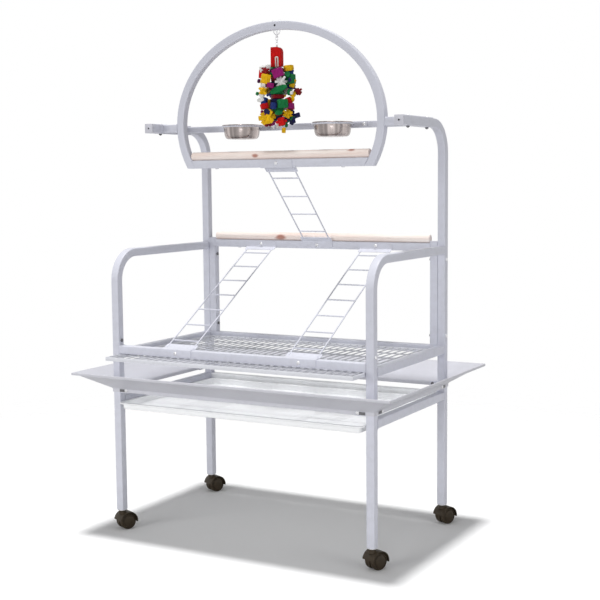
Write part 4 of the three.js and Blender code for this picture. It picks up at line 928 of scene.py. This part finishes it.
class PLAYSTAND_OT_perches(bpy.types.Operator):
    """Builds the two wooden perches and the screws that hold them from below"""
    bl_idname = "play_stand.perches"
    bl_label = "Perches"

    def execute(self, context):
        sizes = context.scene.play_stand_sizes
        rise = sizes.tube / 2 + SEAT + sizes.perch
        places = {"upper_perch": (0.3160, ARCH_Y, ARCH_RAIL_Z), "lower_perch": (0.3987, LEG_Y, MIDDLE_RAIL_Z)}
        screws = []
        for name, (reach, y, rail_z) in places.items():
            dowel = self.dowel(sizes.perch, reach, y, rail_z + rise)
            piece(f"{name}_dowel", dowel, "Perch wood", "stand", [name])
            for x in (-1, 1):
                screws.append(bolt((0, 0, -1), (x * (reach - 0.090), y, rail_z - sizes.tube / 2)))
        piece("perch_screws", screws, "Zinc plate", "stand")
        return {"FINISHED"}

    def dowel(self, radius, reach, y, z):
        """A sanded dowel along X that is never quite straight or round."""
        profile = [(0, -reach), (radius - 0.0020, -reach), (radius - 0.0006, -reach + 0.0006), (radius, -reach + 0.002)]
        steps = 60
        inner = reach - 0.004
        profile += [(radius, -inner + 2 * inner * step / steps) for step in range(steps + 1)]
        profile += [(r, -x) for r, x in reversed(profile[:4])]
        bm = turned(profile, Matrix.Rotation(math.pi / 2, 4, "Y"), 40)
        for corner in bm.verts:
            turn = math.atan2(corner.co.z, corner.co.y)
            wander = math.sin(corner.co.x * 21 + 1.3) + 0.6 * math.sin(corner.co.x * 47 + 2 * turn)
            shrink = 1 - 0.008 - 0.006 * wander
            corner.co.y *= shrink
            corner.co.z *= shrink
        bmesh.ops.translate(bm, vec=(0, y, z), verts=bm.verts)
        return bm


# ---- Ladders ------------------------------------------------------------------------------------


class PLAYSTAND_OT_ladders(bpy.types.Operator):
    """Builds the three wire ladders with their folded end plates and bolts"""
    bl_idname = "play_stand.ladders"
    bl_label = "Ladders"

    def execute(self, context):
        sizes = context.scene.play_stand_sizes
        half = sizes.tube / 2
        lap, flange, apron = 0.018, 0.0105, 0.021  # along the ladder, up a rail's face, down a rail's face
        rail_y = LEG_Y - half - SEAT
        deck_y = -LEG_Y - half - SEAT
        deck_z = LEG_TOP_Z + SEAT
        middle_z = MIDDLE_RAIL_Z + half + SEAT
        arch_z = ARCH_RAIL_Z - half - SEAT
        arch_y = ARCH_Y - half - SEAT
        deck_bolt_z = LEG_TOP_Z - half

        top = Vector((rail_y - PLATE, MIDDLE_RAIL_Z - flange))
        bottom = Vector((deck_y + sizes.tube + 2 * SEAT, deck_z + PLATE))
        fall = (bottom - top).normalized() * lap
        top_plate = [(rail_y + fall.x, MIDDLE_RAIL_Z - flange + fall.y), (rail_y, MIDDLE_RAIL_Z - flange),
                     (rail_y, MIDDLE_RAIL_Z + flange)]
        bottom_plate = [(deck_y, deck_z - apron), (deck_y, deck_z), (bottom.x, deck_z),
                        (bottom.x - fall.x, deck_z - fall.y)]
        for side, x in SIDES.items():
            self.ladder(sizes, f"{side}_ladder", x * LADDER_X, top, bottom, 7, [top_plate, bottom_plate])

        up_top, up_bottom = Vector((ARCH_Y + half, arch_z - PLATE)), Vector((rail_y, middle_z + PLATE))
        fall = (up_bottom - up_top).normalized() * lap
        top_plate = [(up_top.x + fall.x, arch_z + fall.y), (up_top.x, arch_z), (arch_y, arch_z),
                     (arch_y, ARCH_RAIL_Z + flange)]
        bottom_plate = [(rail_y, middle_z - apron), (rail_y, middle_z), (rail_y - fall.x, middle_z - fall.y)]
        self.ladder(sizes, "upper_ladder", 0, up_top, up_bottom, 4, [top_plate, bottom_plate])

        bolts = [bolt((0, -1, 0), (x * LADDER_X, y - PLATE, z)) for x in (-1, 1)
                 for y, z in ((rail_y, MIDDLE_RAIL_Z), (deck_y, deck_bolt_z))]
        bolts += [bolt((0, -1, 0), (0, y - PLATE, z)) for y, z in ((arch_y, ARCH_RAIL_Z), (rail_y, MIDDLE_RAIL_Z))]
        piece("ladder_bolts", bolts, "Zinc plate", "stand")
        return {"FINISHED"}

    def ladder(self, sizes, name, x, top, bottom, rungs, plates):
        """Side wires and rungs from top to bottom, each a (y, z) point, with plates at both ends."""
        run = bottom - top
        along = run.normalized()
        gauge, wire = sizes.ladder_gauge / 2, sizes.ladder_wire
        inset = 0.003

        def place(across, distance):
            spot = top + along * distance
            return Vector((x + across, spot.x, spot.y))

        parts = [bar(wire, place(across, inset), place(across, run.length - inset)) for across in (-gauge, gauge)]
        first = (run.length - (rungs - 1) * sizes.rung_pitch) / 2
        for rung in range(rungs):
            height = first + rung * sizes.rung_pitch
            parts.append(bar(wire, place(-gauge, height), place(gauge, height)))
        for plate in plates:
            folded = folded_sheet(plate, sizes.plate_width, PLATE, 0.0022, 0.003)
            bmesh.ops.translate(folded, vec=(x, 0, 0), verts=folded.verts)
            parts.append(folded)
        piece(f"{name}_wires", parts, "Frame powder coat", "stand", [name])


# ---- Casters ------------------------------------------------------------------------------------


class PLAYSTAND_OT_casters(bpy.types.Operator):
    """Builds the four hooded casters and their twin wheels"""
    bl_idname = "play_stand.casters"
    bl_label = "Casters"

    def execute(self, context):
        sizes = context.scene.play_stand_sizes
        for corner, (x, y) in CORNERS.items():
            place = (at(x * LEG_X, y * LEG_Y, sizes.wheel) @ Matrix.Rotation(CASTER_TURN, 4, "Z")
                     @ at(0, CASTER_TRAIL, 0))
            piece(f"{corner}_hood", brought(self.hood(sizes), place), ["Caster plastic", "Zinc plate"],
                  f"{corner}_caster", [f"{corner}_caster_hood"])
            piece(f"{corner}_twin_wheels", brought(self.wheels(sizes), place), "Caster plastic",
                  f"{corner}_wheels", [f"{corner}_caster_wheels"])
        for node in [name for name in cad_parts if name.endswith("_leg_insert")]:
            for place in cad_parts[node].material_slots:
                place.material = finishes()["Caster plastic"]
        return {"FINISHED"}

    def hood(self, sizes):
        """The hood over both wheels, the web between them, the neck, a collar and the stem."""
        first_turn, whole_turn, steps = -8, 180, 24  # of the hood round the axle, in degrees
        width = sizes.web + 2 * (sizes.wheel_width + SEAT)
        inner, outer = 0.0272, 0.0305
        arc = []
        for step in range(steps + 1):
            turn = math.radians(first_turn + whole_turn * step / steps)
            spoke = Vector((0, math.cos(turn), math.sin(turn)))
            arc.append(station(spoke * (inner + outer) / 2, X.cross(spoke), X))
        shell = sweep(flat_plate(width, outer - inner, 0.0014, 3), arc)
        web = sweep(round_section(0.0278, 48), straight(X * -sizes.web / 2, X * sizes.web / 2, Y))
        bmesh.ops.bisect_plane(web, geom=web.verts[:] + web.edges[:] + web.faces[:], plane_co=(0, 0, -0.0143),
                               plane_no=(0, 0, -1), clear_outer=True)
        bmesh.ops.holes_fill(web, edges=[edge for edge in web.edges if len(edge.link_faces) == 1], sides=0)
        bmesh.ops.recalc_face_normals(web, faces=web.faces)
        neck_z = LEG_FOOT_Z - sizes.wheel - SEAT
        stem_place = at(0, -CASTER_TRAIL, 0)
        neck = turned([(0, 0.0235), (0.0128, 0.0235), (0.0122, 0.028), (0.0112, 0.0315), (0.0108, 0.0345), (0, 0.0345)],
                      stem_place, 32)
        collar = turned([(0, 0.0340), (0.0090, 0.0340), (0.0090, neck_z - 0.0022), (0.0146, neck_z - 0.0020),
                         (0.0150, neck_z - 0.0014), (0.0150, neck_z - 0.0006), (0.0146, neck_z), (0, neck_z)],
                        stem_place, 32)
        stem = turned([(0, 0.034), (0.0055, 0.034), (0.0055, 0.067), (0.0045, 0.069), (0, 0.069)], stem_place, 24)
        return gather([shell, web, neck, collar, stem], [0, 0, 0, 1, 1])

    def wheels(self, sizes):
        """Two wheels with a rounded tread and a domed cover, on one axle."""
        r, w = sizes.wheel, sizes.wheel_width
        profile = [(0, 0), (r - 0.003, 0), (r - 0.0008, 0.0008), (r, 0.003), (r, w - 0.0085), (r - 0.0006, w - 0.0062),
                   (r - 0.0020, w - 0.0042), (r - 0.0040, w - 0.0030), (r - 0.0052, w - 0.0034),
                   (r - 0.0056, w - 0.0052), (r - 0.0066, w - 0.0052), (r - 0.0072, w - 0.0032),
                   (r - 0.0105, w - 0.0014), (r - 0.0160, w - 0.0004), (0, w)]
        parts = []
        for x in (-1, 1):
            place = at(x * (sizes.web / 2 + SEAT), 0, 0) @ Matrix.Rotation(x * math.pi / 2, 4, "Y")
            parts.append(turned(profile, place, 48))
        parts.append(bar(0.004, X * -0.010, X * 0.010, 16))
        return gather(parts)


# ---- Toy ----------------------------------------------------------------------------------------

# colour, kind, then across, height, width and depth in millimetres as seen from the front corner
TOY_BITS = [
    ("white", "block", -27, 1444, 14, 17), ("crimson", "star", -35, 1434, 35, 19),
    ("yellow", "block", 33, 1441, 25, 20), ("magenta", "block", 3, 1426, 35, 30),
    ("yellow", "block", -35, 1408, 31, 33), ("purple", "bead", -56, 1404, 12, 14),
    ("white", "star", 12, 1400, 50, 26), ("green", "slice", 32, 1422, 19, 23),
    ("yellow", "block", 48, 1396, 17, 30), ("magenta", "block", -22, 1389, 24, 16),
    ("green", "slice", 4, 1376, 66, 23), ("crimson", "star", 63, 1371, 33, 23),
    ("yellow", "bead", 48, 1362, 21, 19), ("green", "block", 16, 1333, 33, 30),
    ("red", "block", 35, 1343, 19, 23), ("blue", "block", -12, 1327, 19, 23),
    ("navy", "block", -30, 1309, 21, 16), ("red", "block", -40, 1327, 26, 19),
    ("white", "slice", -49, 1347, 31, 16), ("green", "bead", -61, 1365, 12, 12),
    ("yellow", "bead", -47, 1368, 17, 21), ("yellow", "star", -32, 1293, 50, 54),
    ("green", "slice", 4, 1305, 28, 16), ("yellow", "star", 32, 1303, 28, 37),
    ("green", "bead", 47, 1289, 19, 14), ("red", "star", 12, 1279, 35, 30),
    ("yellow", "block", 19, 1253, 12, 19),
]


class PLAYSTAND_OT_toy(bpy.types.Operator):
    """Builds the toy: its hanger and chain, the red block and the coloured bits on their rope"""
    bl_idname = "play_stand.toy"
    bl_label = "Toy"

    def execute(self, context):
        axis = at(0, ARCH_Y, 0)
        piece("toy_yoke", self.yoke(axis), "Zinc plate", "stand", ["toy_hanger"])
        flat = Matrix.Rotation(math.pi / 2, 4, "X")
        across = Matrix.Rotation(math.pi / 2, 4, "Z") @ flat
        link = ring(0.0042, 0.0009, axis @ at(0, 0, 1.53335) @ flat, 1.5)
        piece("toy_oval_link", link, "Zinc plate", "toy_link", ["toy_link"])
        links = [ring(0.0030, 0.0008, axis @ at(0, 0, z) @ turn, 1.5) for z, turn in ((1.5254, across), (1.5172, flat))]
        piece("toy_chain_links", links, "Zinc plate", "toy", ["toy_chain"])
        piece("toy_red_block", self.block_and_eye(), ["Dyed wood red", "Cotton rope"], "toy", ["toy_block"])
        self.bundle()
        return {"FINISHED"}

    def yoke(self, axis):
        """A U of wire hung through the arch under two nuts, with a stud and an eye in its middle."""
        reach, wire, low = 0.0108, 0.0016, 1.5447
        arch_top = ARCH_CENTRE_Z + ARCH_RISE
        corners = [Vector((-reach, 0, arch_top + 0.004)), Vector((-reach, 0, low)), Vector((reach, 0, low)),
                   Vector((reach, 0, arch_top + 0.004))]
        legs = sweep(round_section(wire, 12), bent(corners, Y, reach * 0.98, 12))
        stud = turned([(0, low), (0.0022, low), (0.0022, HANGER_TOP_Z), (0, HANGER_TOP_Z)], segments=16)
        eye = ring(0.0040, 0.0013, at(0, 0, TOY_EYE_Z) @ Matrix.Rotation(math.pi / 2, 4, "Y"))
        nuts = [nut((0, 0, 1), (x * reach, 0, arch_top), 0.0045, 0.0022) for x in (-1, 1)]
        return brought(gather([legs, stud, eye, *nuts]), axis)

    def block_and_eye(self):
        """The red block with one round shoulder, a screw eye on top and a loop of rope on its face."""
        top, width, height, depth = 1.5072, 0.036, 0.060, 0.018
        body = block((width, depth, height), at(0, ARCH_Y, top - height / 2))
        shoulder = [edge for edge in body.edges
                    if all(vert.co.x > 0 and vert.co.z > top - 0.001 for vert in edge.verts)]
        bevel(body, shoulder, 0.016, 8)
        bevel(body, [edge for edge in body.edges if edge.calc_face_angle(0) > 0.5], 0.0008, 2)
        eye = ring(0.0026, 0.0011, at(0, ARCH_Y, top + 0.0022) @ Matrix.Rotation(math.pi / 2, 4, "Y"))
        front = ARCH_Y - depth / 2
        loop = [Vector((0.001, front - 0.0005, top - 0.060)), Vector((0.001, front - 0.0025, top - 0.031)),
                Vector((0.009, front - 0.0025, top - 0.031)), Vector((0.009, front - 0.0005, top - 0.060))]
        rope = sweep(round_section(0.0021, 10), bent(loop, Y, 0.0035, 8))
        return gather([body, eye, rope], [0, 1, 1])

    def bundle(self):
        """The bits of the layout, three times round the rope, deeper and turned on the hidden sides."""
        names = list(DYES)
        # partly real bits, partly painted shade: the core's bits take only the darkest dyes so the gaps read dark
        dark_dyes_for_painted_shade = [names.index(name) + 1 for name in ("navy", "crimson", "green", "purple")]
        bits, dyes = [turned([(0, 1.2620), (0.0045, 1.2620), (0.0045, 1.4468), (0, 1.4468)], at(0, ARCH_Y, 0), 16)], [0]
        for index in range(12):  # the bits on the core, seen between the outer ones, in the darkest dyes only: real bits, and painted shade in the gaps
            turn = Matrix.Rotation(index * 1.1, 4, "Z")
            bits.append(block((0.038, 0.034, 0.012), at(0, ARCH_Y, 1.290 + index * 0.0133) @ turn, 0.0015))
            dyes.append(dark_dyes_for_painted_shade[index % len(dark_dyes_for_painted_shade)])
        for face in range(3):
            for index, (dye, kind, across, height, width, tall) in enumerate(TOY_BITS):
                if face and height < 1260:
                    continue  # only one bit hangs lowest
                spin = math.radians(29 + 120 * face)
                reach = max(0.010, 0.040 - abs(across) * 0.0004 + 0.006 * math.sin(index * 2.1 + face))
                place = Matrix.Rotation(spin, 4, "Z") @ at(across * 0.001, -reach, height * 0.001)
                tilt = math.radians(22) * math.sin(index * 1.7 + face * 2.4)
                lean = math.radians(18) * math.cos(index * 2.9 + face)
                place = at(0, ARCH_Y, 0) @ place @ Matrix.Rotation(tilt, 4, "Y") @ Matrix.Rotation(lean, 4, "Z")
                share = 0.00105 if kind == "star" else 0.00088
                bits.append(self.bit(kind, width * share, tall * share, place))
                pick = (names.index(dye) + (3 * face if kind != "star" else 5 * face)) % len(names)
                dyes.append(pick + 1)
        piece("toy_bits", gather(bits, dyes), ["Cotton rope", *(f"Dyed wood {name}" for name in names)], "toy",
              ["toy_bundle"])

    def bit(self, kind, width, tall, place):
        """One wooden bit: a sawn block, a slice of branch, a bead or a six-armed star."""
        if kind == "block":
            return block((width, min(width, 0.022), tall), place, 0.0015)
        if kind == "slice":
            disc = turned([(0, -0.003), (0.9, -0.003), (1, -0.0015), (1, 0.0015), (0.9, 0.003), (0, 0.003)],
                          segments=24)
            bmesh.ops.scale(disc, vec=(width / 2, tall / 2, 1), verts=disc.verts)
            return brought(disc, place @ Matrix.Rotation(math.pi / 2 - 0.3, 4, "X"))
        if kind == "bead":
            half = tall / 2
            return turned([(0, -half), (width * 0.3, -half), (width * 0.46, -half * 0.6), (width / 2, 0),
                           (width * 0.46, half * 0.6), (width * 0.3, half), (0, half)], place, 20)
        arms = []
        for turn in range(4):
            bar_place = (place @ Matrix.Rotation(turn * math.pi / 4 + 0.2, 4, "Y")
                         @ Matrix.Rotation(0.45 * math.cos(turn * 2.2), 4, "Z"))
            arm = (width + tall) / 2 * (1.0 - 0.13 * (turn % 3))
            arms.append(block((arm, 0.007, min(width, tall) * 0.27), bar_place, 0.0012))
        return gather(arms)


# ---- Stage --------------------------------------------------------------------------------------


class PLAYSTAND_OT_stage(bpy.types.Operator):
    """Sets the camera, the floor, the studio light and the white background"""
    bl_idname = "play_stand.stage"
    bl_label = "Stage"

    def execute(self, context):
        self.camera(context)
        self.floor(context)
        self.lamps(context)
        self.background(context)
        context.scene.view_settings.view_transform = "Standard"
        return {"FINISHED"}

    def camera(self, context):
        """The photograph's camera."""
        yaw, pitch, roll = math.radians(29.02), math.radians(5.72), math.radians(-0.52)
        forward = Vector((-math.sin(yaw) * math.cos(pitch), math.cos(yaw) * math.cos(pitch), -math.sin(pitch)))
        right = Vector((math.cos(yaw), math.sin(yaw), 0))
        up = right.cross(forward)
        turned_right = right * math.cos(roll) + up * math.sin(roll)
        turned_up = up * math.cos(roll) - right * math.sin(roll)
        data = bpy.data.cameras.new("Camera")
        data.sensor_width = 36
        data.lens = 71.65
        camera = bpy.data.objects.new("Camera", data)
        place = Matrix((turned_right, turned_up, -forward)).transposed().to_4x4()
        place.translation = (1.863, -3.232, 1.0995)
        camera.matrix_world = place
        context.scene.collection.objects.link(camera)
        context.scene.camera = camera

    def floor(self, context):
        """A wide white floor that fades into the background far from the stand."""
        bm = bmesh.new()
        bmesh.ops.create_grid(bm, x_segments=8, y_segments=8, size=12.0)
        mesh = bpy.data.meshes.new("floor")
        bm.to_mesh(mesh)
        bm.free()
        material, tree, shader = new_material("Studio floor")
        shader.inputs["Base Color"].default_value = (*context.scene.play_stand_colours.floor, 1)
        shader.inputs["Roughness"].default_value = 0.9
        place = coordinates(tree)
        distance = add_node(tree, "ShaderNodeVectorMath", {0: place}, operation="LENGTH").outputs["Value"]
        fade = spread(tree, distance, 1.2, 2.6)  # metres from the middle of the stand
        clear = add_node(tree, "ShaderNodeBsdfTransparent")
        duller = add_node(tree, "ShaderNodeBsdfDiffuse", {"Color": (0.60, 0.60, 0.60, 1)})
        camera_ray = add_node(tree, "ShaderNodeLightPath").outputs["Is Camera Ray"]
        lit = add_node(tree, "ShaderNodeMixShader", {0: camera_ray, 1: duller.outputs[0], 2: shader.outputs[0]})
        seen = add_node(tree, "ShaderNodeMixShader", {0: fade, 1: lit.outputs[0], 2: clear.outputs[0]})
        tree.links.new(seen.outputs[0], tree.nodes["Material Output"].inputs["Surface"])
        mesh.materials.append(material)
        floor = bpy.data.objects.new("floor", mesh)
        context.scene.collection.objects.link(floor)

    def lamps(self, context):
        """A sun overhead for the soft shadow below, and soft lamps from the front, side and camera."""
        sun = bpy.data.lights.new("Overhead sun", "SUN")
        sun.energy = 2.6
        sun.angle = math.radians(8)  # how soft the shadow's edge is
        overhead = bpy.data.objects.new("Overhead sun", sun)
        overhead.rotation_euler = (0, math.radians(-1.5), 0)
        context.scene.collection.objects.link(overhead)
        for name, energy, width, height, place, glossy in (("Front lamp", 85, 2.4, 2.4, (-1.7, -4.3, 1.1), False),
                                                           ("Side lamp", 40, 2.0, 2.0, (4.2, -0.9, 1.0), False),
                                                           ("Camera lamp", 20, 1.1, 1.5, (1.6, -3.6, 1.6), True)):
            data = bpy.data.lights.new(name, "AREA")
            data.shape = "RECTANGLE"
            data.size, data.size_y = width, height
            data.energy = energy
            lamp = bpy.data.objects.new(name, data)
            lamp.location = place
            lamp.rotation_euler = (Vector((0, 0, 1.0)) - lamp.location).to_track_quat("-Z", "Y").to_euler()
            lamp.visible_glossy = glossy
            context.scene.collection.objects.link(lamp)

    def background(self, context):
        """White where the camera, metal and glass see it, and a gentler fill elsewhere."""
        fill = 0.19
        world = bpy.data.worlds.new("Studio")
        context.scene.world = world
        world.use_nodes = True
        tree = world.node_tree
        rays = add_node(tree, "ShaderNodeLightPath")
        seen = add_node(tree, "ShaderNodeMath", {0: rays.outputs["Is Camera Ray"], 1: rays.outputs["Is Glossy Ray"]},
                        operation="MAXIMUM").outputs[0]
        seen = add_node(tree, "ShaderNodeMath", {0: seen, 1: rays.outputs["Is Transmission Ray"]},
                        operation="MAXIMUM").outputs[0]
        sky = tree.nodes["Background"]
        sky.inputs["Color"].default_value = (1, 1, 1, 1)
        tree.links.new(spread(tree, seen, 0, 1, fill, 1.0), sky.inputs["Strength"])


# ---- Sidebar ------------------------------------------------------------------------------------

OPERATORS = (PLAYSTAND_OT_lower_frame, PLAYSTAND_OT_seed_guards, PLAYSTAND_OT_tray_and_grate,
             PLAYSTAND_OT_arms_and_posts, PLAYSTAND_OT_arch, PLAYSTAND_OT_bowls, PLAYSTAND_OT_perches,
             PLAYSTAND_OT_ladders, PLAYSTAND_OT_casters, PLAYSTAND_OT_toy, PLAYSTAND_OT_stage)


class PLAYSTAND_PT_sidebar(bpy.types.Panel):
    """Lists the stand's pieces, sizes and colours"""
    bl_label = "Play stand"
    bl_space_type = "VIEW_3D"
    bl_region_type = "UI"
    bl_category = "Play stand"

    def draw(self, context):
        for operator in OPERATORS:
            self.layout.operator(operator.bl_idname)
        for group in (context.scene.play_stand_sizes, context.scene.play_stand_colours):
            box = self.layout.box()
            for name in group.bl_rna.properties.keys():
                if name not in ("rna_type", "name"):
                    box.prop(group, name)


CLASSES = (PlayStandSizes, PlayStandColours, *OPERATORS, PLAYSTAND_PT_sidebar)


def register():
    for one in CLASSES:
        bpy.utils.register_class(one)
    bpy.types.Scene.play_stand_sizes = PointerProperty(type=PlayStandSizes)
    bpy.types.Scene.play_stand_colours = PointerProperty(type=PlayStandColours)


def unregister():
    del bpy.types.Scene.play_stand_colours
    del bpy.types.Scene.play_stand_sizes
    for one in reversed(CLASSES):
        bpy.utils.unregister_class(one)


def main():
    """Builds every piece and the stage."""
    register()
    for operator in OPERATORS:
        group, name = operator.bl_idname.split(".")
        getattr(getattr(bpy.ops, group), name)()


if __name__ == "__main__":
    main()
